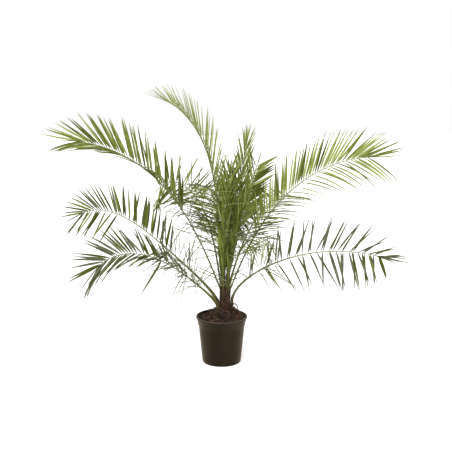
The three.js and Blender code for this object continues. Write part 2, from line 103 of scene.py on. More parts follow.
def piece(name, points, faces, material, slot, crease=35):
    """A mesh from one array of points and arrays of faces, as an object that rides on the plant. Edges
    that bend by more than the crease, in degrees, stay sharp."""
    mesh = bpy.data.meshes.new(name)
    corners = np.concatenate([group.ravel() for group in faces]).astype(np.int32)
    sizes = np.concatenate([np.full(len(group), group.shape[1]) for group in faces])
    starts = np.concatenate([[0], np.cumsum(sizes)[:-1]]).astype(np.int32)
    mesh.vertices.add(len(points))
    mesh.vertices.foreach_set("co", np.asarray(points, np.float32).ravel())
    mesh.loops.add(len(corners))
    mesh.loops.foreach_set("vertex_index", corners)
    mesh.polygons.add(len(sizes))
    mesh.polygons.foreach_set("loop_start", starts)
    mesh.update(calc_edges=True)
    mesh.polygons.foreach_set("use_smooth", np.ones(len(sizes), bool))
    mesh.set_sharp_from_angle(angle=math.radians(crease))
    mesh.materials.append(material)
    made = placed(name, mesh)
    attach(made, "root")
    return made


def joined(parts):
    """Several (points, faces) as one, each part's corners numbered on from the parts before it."""
    offsets = np.cumsum([0] + [len(points) for points, _ in parts[:-1]])
    points = np.vstack([points for points, _ in parts])
    faces = [group + offset for (_, groups), offset in zip(parts, offsets) for group in groups]
    return points, faces


def cut_out(made, cutter_points, cutter_faces):
    """Takes the cutter's closed solid away from a piece, with one Boolean that is applied."""
    mesh = bpy.data.meshes.new("cutter")
    mesh.from_pydata(cutter_points.tolist(), [], [face.tolist() for group in cutter_faces for face in group])
    cutter = placed("cutter", mesh)
    boolean = made.modifiers.new("holes", "BOOLEAN")
    boolean.operation = "DIFFERENCE"
    boolean.object = cutter
    graph = bpy.context.evaluated_depsgraph_get()
    cut = bpy.data.meshes.new_from_object(made.evaluated_get(graph))
    made.modifiers.clear()
    made.data = cut
    bpy.data.objects.remove(cutter)


def wired(tree, kind, inputs, **settings):
    """A new node with its settings. Each of its inputs takes the given value, or a link from the given
    socket."""
    made = tree.nodes.new(kind)
    for name, value in settings.items():
        setattr(made, name, value)
    for name, value in inputs.items():
        if isinstance(value, bpy.types.NodeSocket):
            tree.links.new(value, made.inputs[name])
        else:
            made.inputs[name].default_value = value
    return made


def mottling_group():
    """Mask = noise of the object's own coordinates at Scale, with heights stretched by Stretch, brought
    from the band Low..High to 0..1."""
    group = bpy.data.node_groups.new("mottling", "ShaderNodeTree")
    for label in ("Scale", "Stretch", "Low", "High"):
        group.interface.new_socket(label, in_out="INPUT", socket_type="NodeSocketFloat")
    group.interface.new_socket("Mask", in_out="OUTPUT", socket_type="NodeSocketFloat")
    given = group.nodes.new("NodeGroupInput").outputs
    place = group.nodes.new("ShaderNodeTexCoord").outputs["Object"]
    stretch = wired(group, "ShaderNodeCombineXYZ", {"X": 1, "Y": 1, "Z": given["Stretch"]}).outputs[0]
    scaled = wired(group, "ShaderNodeVectorMath", {0: place, 1: stretch}, operation="MULTIPLY").outputs[0]
    noise = wired(group, "ShaderNodeTexNoise", {"Vector": scaled, "Scale": given["Scale"], "Detail": 5})
    limits = {"From Min": given["Low"], "From Max": given["High"]}
    band = wired(group, "ShaderNodeMapRange", {"Value": noise.outputs["Fac"], **limits})
    wired(group, "NodeGroupOutput", {"Mask": band.outputs["Result"]})
    return group


MOTTLING = mottling_group()


class Finish:
    """A material with one Principled shader, to which patterns are joined step by step."""

    def __init__(self, name, roughness, specular):
        self.material = bpy.data.materials.new(name)
        self.material.use_nodes = True
        self.tree = self.material.node_tree
        self.inputs = self.tree.nodes["Principled BSDF"].inputs
        self.inputs["Roughness"].default_value = roughness
        self.inputs["Specular IOR Level"].default_value = specular

    def place(self):
        """The object's own coordinates, in metres."""
        return self.tree.nodes.new("ShaderNodeTexCoord").outputs["Object"]

    def height(self):
        """The height above the floor, in metres."""
        return wired(self.tree, "ShaderNodeSeparateXYZ", {"Vector": self.place()}).outputs["Z"]

    def mottled(self, scale, stretch=1.0, low=0.35, high=0.65):
        """A mask of patches, about 1 / scale metres across."""
        values = {"Scale": scale, "Stretch": stretch, "Low": low, "High": high}
        return wired(self.tree, "ShaderNodeGroup", values, node_tree=MOTTLING).outputs["Mask"]

    def between(self, mask, one, other):
        """The colour one where the mask is 0 and the other where it is 1. Each is a colour or a socket."""
        one, other = ((*tint, 1) if isinstance(tint, tuple) else tint for tint in (one, other))
        inputs = {"Factor": mask, 6: one, 7: other}
        return wired(self.tree, "ShaderNodeMix", inputs, data_type="RGBA").outputs[2]

    def graded(self, value, low, high):
        """A mask that goes from 0 to 1 as the value goes from low to high, slowly at both ends."""
        inputs = {"Value": value, "From Min": low, "From Max": high}
        band = wired(self.tree, "ShaderNodeMapRange", inputs, interpolation_type="SMOOTHSTEP")
        return band.outputs["Result"]

    def colour(self, socket):
        """Takes the base colour from the socket."""
        self.tree.links.new(socket, self.inputs["Base Color"])

    def rough(self, mask, low, high):
        """Roughness from low to high by the mask."""
        band = wired(self.tree, "ShaderNodeMapRange", {"Value": mask, "To Min": low, "To Max": high})
        self.tree.links.new(band.outputs["Result"], self.inputs["Roughness"])

    def raised(self, mask, depth, strength=1.0):
        """A bump as deep as depth, in metres, where the mask is 1."""
        inputs = {"Height": mask, "Distance": depth, "Strength": strength}
        bump = wired(self.tree, "ShaderNodeBump", inputs)
        self.tree.links.new(bump.outputs["Normal"], self.inputs["Normal"])


def black_plastic():
    """Near-black brown plastic, satin, with a breath of dried soil in soft patches, and a painted highlight
    along the top of the rolled lip, which is paler."""
    finish = Finish("black_plastic", 0.5, 0.05)
    finish.inputs["Sheen Weight"].default_value = 0.18
    finish.inputs["Sheen Roughness"].default_value = 0.42
    finish.inputs["Sheen Tint"].default_value = (1, 0.66, 0.34, 1)
    finish.inputs["Specular Tint"].default_value = (1, 0.9, 0.76, 1)
    patches = finish.mottled(9, 0.5, 0.45, 0.75)
    wall = finish.between(patches, (0.0115, 0.0078, 0.0045), (0.019, 0.013, 0.0075))
    # Painted highlight: the lip's top few millimetres are paler, for light caught on the rolled lip.
    lip_highlight = finish.graded(finish.height(), POT_HEIGHT - 0.006, POT_HEIGHT - 0.002)
    finish.colour(finish.between(lip_highlight, wall, (0.055, 0.047, 0.038)))
    finish.rough(finish.mottled(30, 0.3), 0.36, 0.5)
    finish.raised(finish.mottled(900), 0.00012, 0.5)
    return finish.material


def body_radius(z):
    """Outer radius of the pot's plain wall: even from the base to just under the lip."""
    return BASE_RADIUS + (BODY_TOP_RADIUS - BASE_RADIUS) * z / LIP_FOOT


def wall_radius(z, inwards):
    """Radius of the whole wall moved inwards: the plain taper, a step out, and the collar up to the lip."""
    foot = body_radius(COLLAR_FOOT)
    heights = [0, COLLAR_FOOT, COLLAR_FOOT + COLLAR_STEP, LIP_FOOT]
    return np.interp(z, heights, [BASE_RADIUS, foot, foot + COLLAR_STEP, COLLAR_TOP_RADIUS]) - inwards


def pot_profile():
    """Half outline: floor, rounded foot, wall, step and collar, rolled lip, and back down inside."""
    soft = 0.0007
    wall = np.linspace(0.03, COLLAR_FOOT - 0.002, 8)
    step = COLLAR_FOOT + COLLAR_STEP
    inside = np.array([LIP_FOOT, step, COLLAR_FOOT, POT_WALL])
    return np.vstack([
        [[0, 0.0012], [0.055, 0.0012], [0.058, 0], [BASE_RADIUS - BASE_EDGE - 0.004, 0]],
        arc(BASE_RADIUS - BASE_EDGE, BASE_EDGE, BASE_EDGE, -90, -6, 8),
        np.column_stack([body_radius(wall), wall]),
        [[body_radius(COLLAR_FOOT) + soft, COLLAR_FOOT + soft / 2]],
        [[wall_radius(step, soft), step - soft], [wall_radius(step, 0), step + soft]],
        [[COLLAR_TOP_RADIUS, LIP_FOOT - soft], [COLLAR_TOP_RADIUS + soft, LIP_FOOT]],
        arc(RIM_RADIUS - 0.002, LIP_FOOT + 0.002, 0.002, -90, 0, 4),
        arc(RIM_RADIUS - RIM_ROUND, POT_HEIGHT - RIM_ROUND, RIM_ROUND, 0, 90, 7),
        arc(COLLAR_TOP_RADIUS - POT_WALL + RIM_ROUND, POT_HEIGHT - RIM_ROUND, RIM_ROUND, 90, 180, 7),
        np.column_stack([wall_radius(inside, POT_WALL), inside]),
        [[0, POT_WALL]],
    ])


def round_axis(angle):
    """At each angle round an upright axis, the level way out from it, (cos a, sin a, 0), and the level way
    on round it, (-sin a, cos a, 0)."""
    c, s, nought = np.cos(angle), np.sin(angle), 0 * angle
    return np.stack([c, s, nought], axis=-1), np.stack([-s, c, nought], axis=-1)


def drain_solids():
    """Six upright cylinders on the drain circle, from under the floor to above it."""
    profile = np.array([[0, -0.01], [DRAIN_RADIUS, -0.01], [DRAIN_RADIUS, 0.01], [0, 0.01]])
    points, faces = turned(profile, 24)
    out, _ = round_axis(np.radians(360 / DRAIN_COUNT * (np.arange(DRAIN_COUNT) + 0.5)))
    return joined([(points + place, faces) for place in DRAIN_CIRCLE * out])


pot = piece("nursery_pot", *turned(pot_profile(), POT_SEGMENTS), black_plastic(), "pot")
cut_out(pot, *drain_solids())
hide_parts("pot")

# The potting mix. Moist peat with composted bark fills the pot to a little under its rim and is heaped
# round the stem. Its top is a rough crust with bark chips, crumbs and dead fibre lying on it.
SOIL_LEVEL = 0.263
STEM_X = 0.020
SOIL_CLEARANCE = 0.0005
SOIL_RADIUS = wall_radius(SOIL_LEVEL, POT_WALL + SOIL_CLEARANCE)
SOIL_RINGS = 64
SOIL_SEGMENTS = 200
MOUND_HEIGHT = 0.020
MOUND_RADIUS = 0.075
rng = np.random.default_rng(7)


def lumps(x, y, size, seed, waves=14):
    """Rough ground between about -1 and 1: a sum of plane waves in random directions, whose lengths lie
    round the given size."""
    draw = np.random.default_rng(seed)
    angle = draw.uniform(0, 2 * np.pi, waves)
    number = 2 * np.pi / (size * draw.uniform(0.6, 1.7, waves))
    phase = draw.uniform(0, 2 * np.pi, waves)
    along = x[..., None] * np.cos(angle) + y[..., None] * np.sin(angle)
    return np.sin(along * number + phase).sum(axis=-1) / math.sqrt(waves)


def soil_height(x, y):
    """Height of the crust: the level, the mound round the stem, big lumps and small crumbs."""
    out = np.hypot(x - STEM_X, y)
    mound = MOUND_HEIGHT * np.exp(-((out / MOUND_RADIUS) ** 2))
    edge = np.clip((SOIL_RADIUS - np.hypot(x, y)) / 0.02, 0.25, 1)
    rough = 0.0022 * lumps(x, y, 0.03, 1) + 0.0012 * lumps(x, y, 0.011, 2) + 0.0007 * lumps(x, y, 0.005, 3)
    return SOIL_LEVEL - 0.001 + mound + edge * rough


def soil_solid():
    """The plug of soil: a turned body inside the pot's wall whose top rows take the crust's height."""
    heights = np.array([POT_WALL + 0.0003, COLLAR_FOOT, COLLAR_FOOT + COLLAR_STEP, SOIL_LEVEL - 0.006])
    side = np.column_stack([wall_radius(heights, POT_WALL + SOIL_CLEARANCE), heights])
    radii = np.linspace(SOIL_RADIUS - 0.001, 0.002, SOIL_RINGS)
    top = np.column_stack([radii, np.full(SOIL_RINGS, SOIL_LEVEL)])
    profile = np.vstack([[[0, heights[0]]], side, top, [[0, SOIL_LEVEL]]])

    def crusted(grid):
        grid[len(side):, :, 2] = soil_height(grid[len(side):, :, 0], grid[len(side):, :, 1])
        return grid

    points, faces = turned(profile, SOIL_SEGMENTS, crusted)
    points[-1, 2] = points[-3, 2]
    return points, faces


def unit(vectors):
    """Each row divided by its length."""
    return vectors / np.linalg.norm(vectors, axis=-1, keepdims=True)


def square_to(way, vectors):
    """The vectors less their parts along the way, at a length of one."""
    return unit(vectors - (vectors * way).sum(-1, keepdims=True) * way)


def turned_frames(count, flat, draw):
    """Random right-handed frames, count by 3 by 3, whose third direction leans off the vertical by an
    angle of about flat radians."""
    lean = np.abs(draw.normal(0, flat, count))
    way = draw.uniform(0, 2 * np.pi, count)
    up = np.column_stack([np.sin(lean) * np.cos(way), np.sin(lean) * np.sin(way), np.cos(lean)])
    first = square_to(up, round_axis(draw.uniform(0, 2 * np.pi, count))[0])
    return np.stack([first, np.cross(up, first), up], axis=1)


def chips(places, frames, sizes, draw):
    """Split bark: for each place a six-cornered flat block, length x width x thickness, whose corners are
    each pulled in or out at random and whose top is a little smaller than its foot."""
    count = len(places)
    angle = np.radians(60) * np.arange(6) + draw.uniform(-0.35, 0.35, (count, 6))
    reach = draw.uniform(0.7, 1.1, (count, 6))
    ring = np.stack([reach * np.cos(angle), reach * np.sin(angle)], axis=-1)
    low = np.concatenate([ring, np.full((count, 6, 1), -1.0)], axis=-1)
    high = np.concatenate([ring * 0.8, draw.uniform(0.5, 1.0, (count, 6, 1))], axis=-1)
    local = np.concatenate([low, high], axis=1) * sizes[:, None, :] / 2
    points = places[:, None, :] + np.einsum("nki,nij->nkj", local, frames)
    start = 12 * np.arange(count)[:, None]
    side = np.array([[k, (k + 1) % 6, 6 + (k + 1) % 6, 6 + k] for k in range(6)])
    quads = (start[:, :, None] + side[None]).reshape(-1, 4)
    return points.reshape(-1, 3), [quads, start + np.arange(5, -1, -1), start + np.arange(6, 12)]


def scattered(count, draw, inside):
    """Even random places on the soil, clear of the wall and as far from the stem's axis as inside says, at
    the crust's height."""
    radius = (SOIL_RADIUS - 0.007) * np.sqrt(draw.uniform(0, 1, 3 * count))
    angle = draw.uniform(0, 2 * np.pi, 3 * count)
    x, y = radius * np.cos(angle), radius * np.sin(angle)
    kept = np.hypot(x - STEM_X, y) > inside
    x, y = x[kept][:count], y[kept][:count]
    return np.column_stack([x, y, soil_height(x, y)])


def crumbly(name, dark, light, scale):
    """Rough matt matter in two colours, in patches and with a crumbly surface."""
    finish = Finish(name, 0.9, 0.25)
    finish.colour(finish.between(finish.mottled(scale), dark, light))
    finish.raised(finish.mottled(3 * scale), 0.0008)
    return finish.material


peat = crumbly("peat", (0.008, 0.005, 0.003), (0.032, 0.02, 0.013), 160)
soil = piece("potting_mix", *soil_solid(), peat, "soil", 60)
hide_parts("soil")

CHIP_KINDS = {
    "bark_chips_dark": (380, (0.007, 0.004, 0.003), (0.024, 0.015, 0.01)),
    "bark_chips_red": (70, (0.03, 0.014, 0.008), (0.075, 0.036, 0.02)),
    "bark_chips_grey": (60, (0.06, 0.045, 0.03), (0.16, 0.12, 0.085)),
}
for name, (count, dark, light) in CHIP_KINDS.items():
    places = scattered(count, rng, 0.045)
    sizes = np.column_stack([
        rng.uniform(0.007, 0.022, count), rng.uniform(0.004, 0.011, count), rng.uniform(0.002, 0.0045, count),
    ])
    solids = chips(places + [0, 0, 0.001], turned_frames(count, 0.45, rng), sizes, rng)
    piece(name, *solids, crumbly(name, dark, light, 220), "soil", 25)

# The stem. A swollen foot and a short column, hidden under the sheaths of cut leaves: a woody core with
# diamond-shaped leaf bases in spirals, each ending in a sawn stub, all wrapped in brown sheath fibre.
CUT_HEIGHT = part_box("stem")[0][2]
STEM_TOP = 0.450
STEM_OUTLINE = np.array([
    [0, 0.057], [0.014, 0.053], [0.032, 0.043], [0.048, 0.032], [0.066, 0.027], [0.100, 0.025],
    [0.130, 0.023], [0.158, 0.0185], [STEM_TOP - CUT_HEIGHT, 0.0165],
])
STEM_RINGS = 150
STEM_SEGMENTS = 220
GOLDEN_ANGLE = math.radians(137.5)
SCAR_COUNT = 54
SCAR_WIDTH = 0.024
SCAR_HEIGHT = 0.017
RELIEF_DEPTH = 0.007


def stem_radius(z):
    """Radius of the plain stem at a height, straight between the outline's named points."""
    return np.interp(z - CUT_HEIGHT, STEM_OUTLINE[:, 0], STEM_OUTLINE[:, 1])


def scar_places():
    """Where leaf bases sit: each a golden angle round from the last and a little higher."""
    share = (np.arange(SCAR_COUNT) + 0.5) / SCAR_COUNT
    return GOLDEN_ANGLE * np.arange(SCAR_COUNT), CUT_HEIGHT + 0.004 + 0.158 * share


def bark_relief(angle, z):
    """How far the bark stands out: the highest of the overlapping leaf bases, each a rounded diamond that
    is steep at its upper edge, with fine upright ribs over all."""
    round_at, high_at = scar_places()
    turn = (angle[..., None] - round_at + np.pi) % (2 * np.pi) - np.pi
    across = turn * stem_radius(z)[..., None] / SCAR_WIDTH
    up = (z[..., None] - high_at) / SCAR_HEIGHT
    body = np.clip(1 - np.abs(across) ** 1.5 - np.abs(up) ** 1.3, 0, 1)
    base = (body * (0.6 + 0.4 * np.clip(up, -1, 1))).max(axis=-1)
    ribs = 0.12 * np.sin(46 * angle + 5 * np.sin(60 * z)) + 0.1 * np.sin(91 * angle + 170 * z)
    return base + ribs * (0.4 + base)


def stem_solid():
    """The stem as a grid of angle and height: radius = outline + relief, closed by its two poles."""
    z = np.linspace(CUT_HEIGHT - 0.012, STEM_TOP, STEM_RINGS)
    angle = 2 * np.pi * np.arange(STEM_SEGMENTS) / STEM_SEGMENTS
    profile = np.column_stack([stem_radius(z), z])
    relief = RELIEF_DEPTH * bark_relief(*np.meshgrid(angle, z))

    def barked(grid):
        out = relief * np.clip(stem_radius(z) / 0.05, 0.25, 1)[:, None]
        grid[..., 0] += out * np.cos(angle)
        grid[..., 1] += out * np.sin(angle)
        return grid

    points, faces = turned(np.vstack([[[0, z[0]]], profile, [[0, z[-1]]]]), STEM_SEGMENTS, barked)
    mask = np.concatenate([relief.ravel() / RELIEF_DEPTH, [0, 0]])
    return points + [STEM_X, 0, 0], faces, mask


def bark():
    """Brown weathered sheaths, reddish and grey on the faces of the leaf bases, with painted shade:
    near-black in the clefts between them.
    """
    finish = Finish("palm_bark", 0.85, 0.3)
    relief = wired(finish.tree, "ShaderNodeAttribute", {}, attribute_name="relief").outputs["Fac"]
    faces = finish.between(finish.mottled(70, 0.35), (0.05, 0.019, 0.008), (0.15, 0.08, 0.036))
    # Painted shade: where the relief is low, in the clefts between leaf bases, the colour goes near-black.
    finish.colour(finish.between(finish.graded(relief, 0.05, 0.6), (0.01, 0.006, 0.004), faces))
    finish.raised(finish.mottled(420, 0.15), 0.0014)
    return finish.material


points, faces, relief = stem_solid()
stem = piece("bark_stem", points, faces, bark(), "stem", 70)
stem.data.attributes.new("relief", "FLOAT", "POINT").data.foreach_set("value", relief.astype(np.float32))
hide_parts("stem")

# The cut leaf bases. Old leaves were sawn off close to the stem, and a dry end of each petiole stays,
# held in its sheath. It is a crescent in section, hollow towards the stem.
CRESCENT = np.array([
    [1, 0.1], [0.72, 0.52], [0, 0.72], [-0.72, 0.52], [-1, 0.1], [-0.85, -0.28], [0, -0.3], [0.85, -0.28],
])
STUB_RINGS = 7
STUB_LOWEST = 0.272
STUB_HIGHEST = 0.338


def swept(centres, sides, ups, outline, widths, heights):
    """A solid round a path: ring i holds centre_i + side_i x width_i + up_i y height_i for each point
    (x, y) of the outline, which runs anticlockwise seen against the path. Both ends are flat."""
    rings = (
        centres[:, None]
        + sides[:, None] * (outline[None, :, :1] * widths[:, None, None])
        + ups[:, None] * (outline[None, :, 1:] * heights[:, None, None])
    )
    index = np.arange(rings.size // 3).reshape(rings.shape[:2])
    return rings.reshape(-1, 3), [ring_quads(index), index[:1, ::-1], index[-1:]]


def outward(round_at, slope):
    """The way that leaves the stem's axis at an angle round it and at each slope above the level:
    (cos slope cos angle, cos slope sin angle, sin slope)."""
    level = np.cos(slope)
    return np.stack([level * math.cos(round_at), level * math.sin(round_at), np.sin(slope)], axis=-1)


def stub(round_at, foot_z, slope, length, half_width, draw):
    """One cut leaf base: a crescent swept from inside the stem outwards, narrowing and bending up."""
    share = np.linspace(0, 1, STUB_RINGS)
    start = np.array([STEM_X, 0, foot_z]) + outward(round_at, 0) * (stem_radius(foot_z) - 0.012)
    ways = outward(round_at, slope * (0.45 + 0.75 * share))
    steps = np.cumsum(ways[:-1] * length / (STUB_RINGS - 1), axis=0)
    sides = np.repeat([[math.sin(round_at), -math.cos(round_at), 0]], STUB_RINGS, axis=0)
    widths = half_width * (1.25 - 0.5 * share) * (1 + 0.06 * draw.normal(size=STUB_RINGS))
    centres = start + np.vstack([[[0, 0, 0]], steps])
    return swept(centres, sides, -np.cross(sides, ways), CRESCENT, widths, widths * 0.62)


def stub_solids(count, first, draw):
    """Cut leaf bases by the golden angle: the lower ones lie out over the soil, the upper ones stand."""
    parts = []
    for i in range(first, first + count):
        high = (i - first + draw.uniform(0, 0.6)) / count
        foot_z = STUB_LOWEST + (STUB_HIGHEST - STUB_LOWEST) * high
        slope = math.radians(16 + 52 * high + draw.normal(0, 9))
        length = draw.uniform(0.024, 0.044) * (1 - 0.2 * high)
        parts.append(stub(GOLDEN_ANGLE * i + 0.4, foot_z, slope, length, draw.uniform(0.005, 0.010), draw))
    return joined(parts)


def fibrous(name, dark, light):
    """Dry sheath fibre, dull and streaked along the plant's height."""
    finish = Finish(name, 0.75, 0.3)
    finish.colour(finish.between(finish.mottled(110, 0.3), dark, light))
    finish.raised(finish.mottled(500, 0.12), 0.0008)
    return finish.material


STUB_KINDS = {
    "cut_leaf_bases_brown": (24, 0, (0.03, 0.014, 0.008), (0.08, 0.042, 0.022)),
    "cut_leaf_bases_red": (14, 24, (0.07, 0.022, 0.01), (0.17, 0.065, 0.03)),
    "cut_leaf_bases_straw": (6, 38, (0.1, 0.065, 0.03), (0.2, 0.13, 0.065)),
}
for name, (count, first, dark, light) in STUB_KINDS.items():
    piece(name, *stub_solids(count, first, rng), fibrous(name, dark, light), "stem", 40)

# The sheath fibre. The sheaths of the old leaves have worn to coarse brown hairs, which cling to the stem
# almost upright, splay out at its foot, and lie dead on the soil round it.
HAIR_RINGS = 7


def strands(starts, ways, lengths, bends, radii):
    """Thin three-sided hairs. Each runs point(s) = start + way length s + bend length s^2, and tapers to
    0.15 of its radius at s = 1."""
    share = np.linspace(0, 1, HAIR_RINGS)[None, :, None]
    reach = lengths[:, None, None]
    centres = starts[:, None] + ways[:, None] * reach * share + bends[:, None] * reach * share**2
    along = unit(ways[:, None] + 2 * bends[:, None] * share)
    # Two directions square to the hair, by way of one that no hair follows.
    first = unit(np.cross(along, np.array([0.31, 0.22, 0.92])))
    second = np.cross(along, first)
    angle = 2 * np.pi * np.arange(3) / 3
    radius = radii[:, None, None] * (1 - 0.85 * share)
    rings = centres[:, :, None] + radius[..., None] * (
        first[:, :, None] * np.cos(angle)[:, None] + second[:, :, None] * np.sin(angle)[:, None]
    )
    index = np.arange(rings.size // 3).reshape(rings.shape[:3])
    return rings.reshape(-1, 3), [ring_quads(index), index[:, 0, ::-1], index[:, -1]]


def stem_hairs(count, draw):
    """Fibres on the stem: they leave its surface almost upright, or splay out and hang over near the
    foot."""
    out, around = round_axis(draw.uniform(0, 2 * np.pi, count))
    z = draw.uniform(CUT_HEIGHT + 0.01, STEM_TOP - 0.01, count)
    starts = [STEM_X, 0, 0] + out * (stem_radius(z) + 0.002)[:, None] + [0, 0, 1] * z[:, None]
    low = np.clip((0.36 - z) / 0.1, 0, 1)[:, None]
    ways = out * (0.22 + 0.75 * low) + around * draw.normal(0, 0.28, (count, 1))
    ways = unit(ways + [0, 0, 1] * (1.0 - 0.5 * low))
    bends = around * draw.normal(0, 0.3, (count, 1)) - out * 0.1 - [0, 0, 0.55] * low
    lengths = draw.uniform(0.02, 0.055, count)
    return strands(starts, ways, lengths, bends, draw.uniform(0.0004, 0.0011, count))


def soil_hairs(count, draw):
    """Dead fibre that lies on the soil, in all directions, close to the crust."""
    starts = scattered(count, draw, 0.05) + [0, 0, 0.003]
    way = draw.uniform(0, 2 * np.pi, count)
    ways = np.column_stack([np.cos(way), np.sin(way), draw.uniform(0, 0.25, count)])
    bends = np.column_stack([draw.normal(0, 0.3, (count, 2)), -draw.uniform(0.1, 0.3, count)])
    room = np.clip((SOIL_RADIUS - 0.004 - np.linalg.norm(starts[:, :2], axis=1)), 0.008, 0.045)
    lengths = room * draw.uniform(0.5, 1.0, count)
    return strands(starts, ways, lengths, bends, draw.uniform(0.0004, 0.001, count))


FIBRE_KINDS = {
    "sheath_fibre_brown": (760, 380, (0.014, 0.007, 0.004), (0.055, 0.028, 0.016)),
    "sheath_fibre_red": (380, 120, (0.06, 0.019, 0.009), (0.15, 0.056, 0.027)),
    "sheath_fibre_straw": (100, 90, (0.12, 0.08, 0.04), (0.26, 0.18, 0.09)),
}
for name, (on_stem, on_soil, dark, light) in FIBRE_KINDS.items():
    hairs = joined([stem_hairs(on_stem, rng), soil_hairs(on_soil, rng)])
    piece(name, *hairs, fibrous(name, dark, light), "stem", 80)

# The net of fibre that holds the youngest petioles together. It has dried, is a dull yellow-brown, and
# stands upright between them at the top of the stem.
CROWN_HAIRS = 320
CROWN_FOOT = 0.43


def crown_hairs(count, draw):
    """Upright hairs from the stem's top, leaning out a little."""
    out, _ = round_axis(draw.uniform(0, 2 * np.pi, count))
    starts = np.array([STEM_X, 0, CROWN_FOOT]) + out * draw.uniform(0.004, 0.026, (count, 1))
    ways = unit(out * draw.uniform(-0.05, 0.2, (count, 1)) + [0, 0, 1])
    bends = out * draw.normal(0, 0.08, (count, 1))
    lengths = draw.uniform(0.05, 0.13, count)
    return strands(starts, ways, lengths, bends, draw.uniform(0.0006, 0.0016, count))


crown_net = fibrous("crown_fibre", (0.022, 0.014, 0.006), (0.09, 0.07, 0.022))
piece("crown_fibre", *crown_hairs(CROWN_HAIRS, rng), crown_net, "stem", 80)

# The curl of old fibre that stands out at the right of the stem's foot. It is a dried strip of leaf
# sheath, brown, flat and narrowing, that has rolled over as it dried.
CURL_CENTRE = np.array([0.076, -0.020, 0.333])
CURL_RADIUS = 0.016
CURL_WIDTH = 0.0080
CURL_THICKNESS = 0.0044
CURL_RINGS = 26
ROUND = np.column_stack([np.cos(np.radians(45) * np.arange(8)), np.sin(np.radians(45) * np.arange(8))])


def curl_solid():
    """A flat strip on an oval: centre + R (cos a, 0, 1.15 sin a) from the stem's side over the top and
    down, with its width across the oval."""
    a = np.radians(np.linspace(200, -100, CURL_RINGS))
    drift = np.linspace(0.006, -0.008, CURL_RINGS)
    centres = CURL_CENTRE + np.column_stack([CURL_RADIUS * np.cos(a), drift, 1.15 * CURL_RADIUS * np.sin(a)])
    ups = np.column_stack([np.cos(a), 0 * a, np.sin(a)])
    sides = np.repeat([[0, 1.0, 0]], CURL_RINGS, axis=0)
    taper = np.linspace(1, 0.45, CURL_RINGS)
    return swept(centres, sides, ups, ROUND, CURL_WIDTH * taper, CURL_THICKNESS * taper)


dry_sheath = fibrous("dry_sheath", (0.022, 0.012, 0.008), (0.07, 0.042, 0.026))
piece("sheath_curl", *curl_solid(), dry_sheath, "stem", 60)

# The fronds' ribs. Each frond is one stalk from the stem to its tip: a broad channelled petiole that
# clasps the stem, then a slimmer rib that carries the leaflets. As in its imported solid, its slope goes
# from rise to end as share ** bend, and is steeper by the hook where it leaves the stem.
FRONDS = {
    # name: turn, seat (round, out, up), rise, end, bend, hook, length, base
    "left_long": (186, (186, 0.027, 0.440), 69, 6, 1.9, 0, 1.220, 0.015),
    "left_low_back": (164, (160, 0.046, 0.352), 40, -26, 4.4, 30, 1.040, 0.031),
    "left_low_front": (196, (204, 0.046, 0.352), 42, -47, 2.9, 14, 0.810, 0.031),
    "left_tall": (164, (185, 0.014, 0.455), 87, 20, 3.3, 0, 1.180, 0.009),
    "left_back": (142, (140, 0.027, 0.430), 79, -42, 2.8, 0, 0.890, 0.012),
    "right_long": (354, (352, 0.027, 0.430), 69, 2, 1.73, 0, 1.175, 0.013),
    "right_low": (0, (0, 0.040, 0.352), 56, -14, 0.74, 44, 0.985, 0.022),
    "right_drooping": (322, (318, 0.027, 0.430), 74, -60, 3.2, 0, 0.520, 0.012),
    "back_tall": (50, (50, 0.014, 0.455), 79, 76, 1, 0, 0.840, 0.009),
    "back_right": (14, (2, 0.014, 0.455), 81, 71, 1, 0, 0.720, 0.009),
    "back_left": (60, (124, 0.014, 0.455), 86, 80, 1, 0, 0.660, 0.009),
    "back_low_left": (100, (98, 0.027, 0.425), 66, -14, 1.6, 0, 0.980, 0.013),
    "back_low_right": (55, (54, 0.027, 0.425), 62, -16, 1.6, 0, 0.960, 0.013),
    "front_arching": (250, (232, 0.014, 0.455), 89, -10, 3.2, 0, 0.720, 0.009),
    "front_left": (300, (248, 0.028, 0.430), 89, 76, 2, 0, 0.640, 0.012),
    "front_right": (332, (290, 0.027, 0.430), 82, 72, 1, 0, 0.620, 0.011),
}
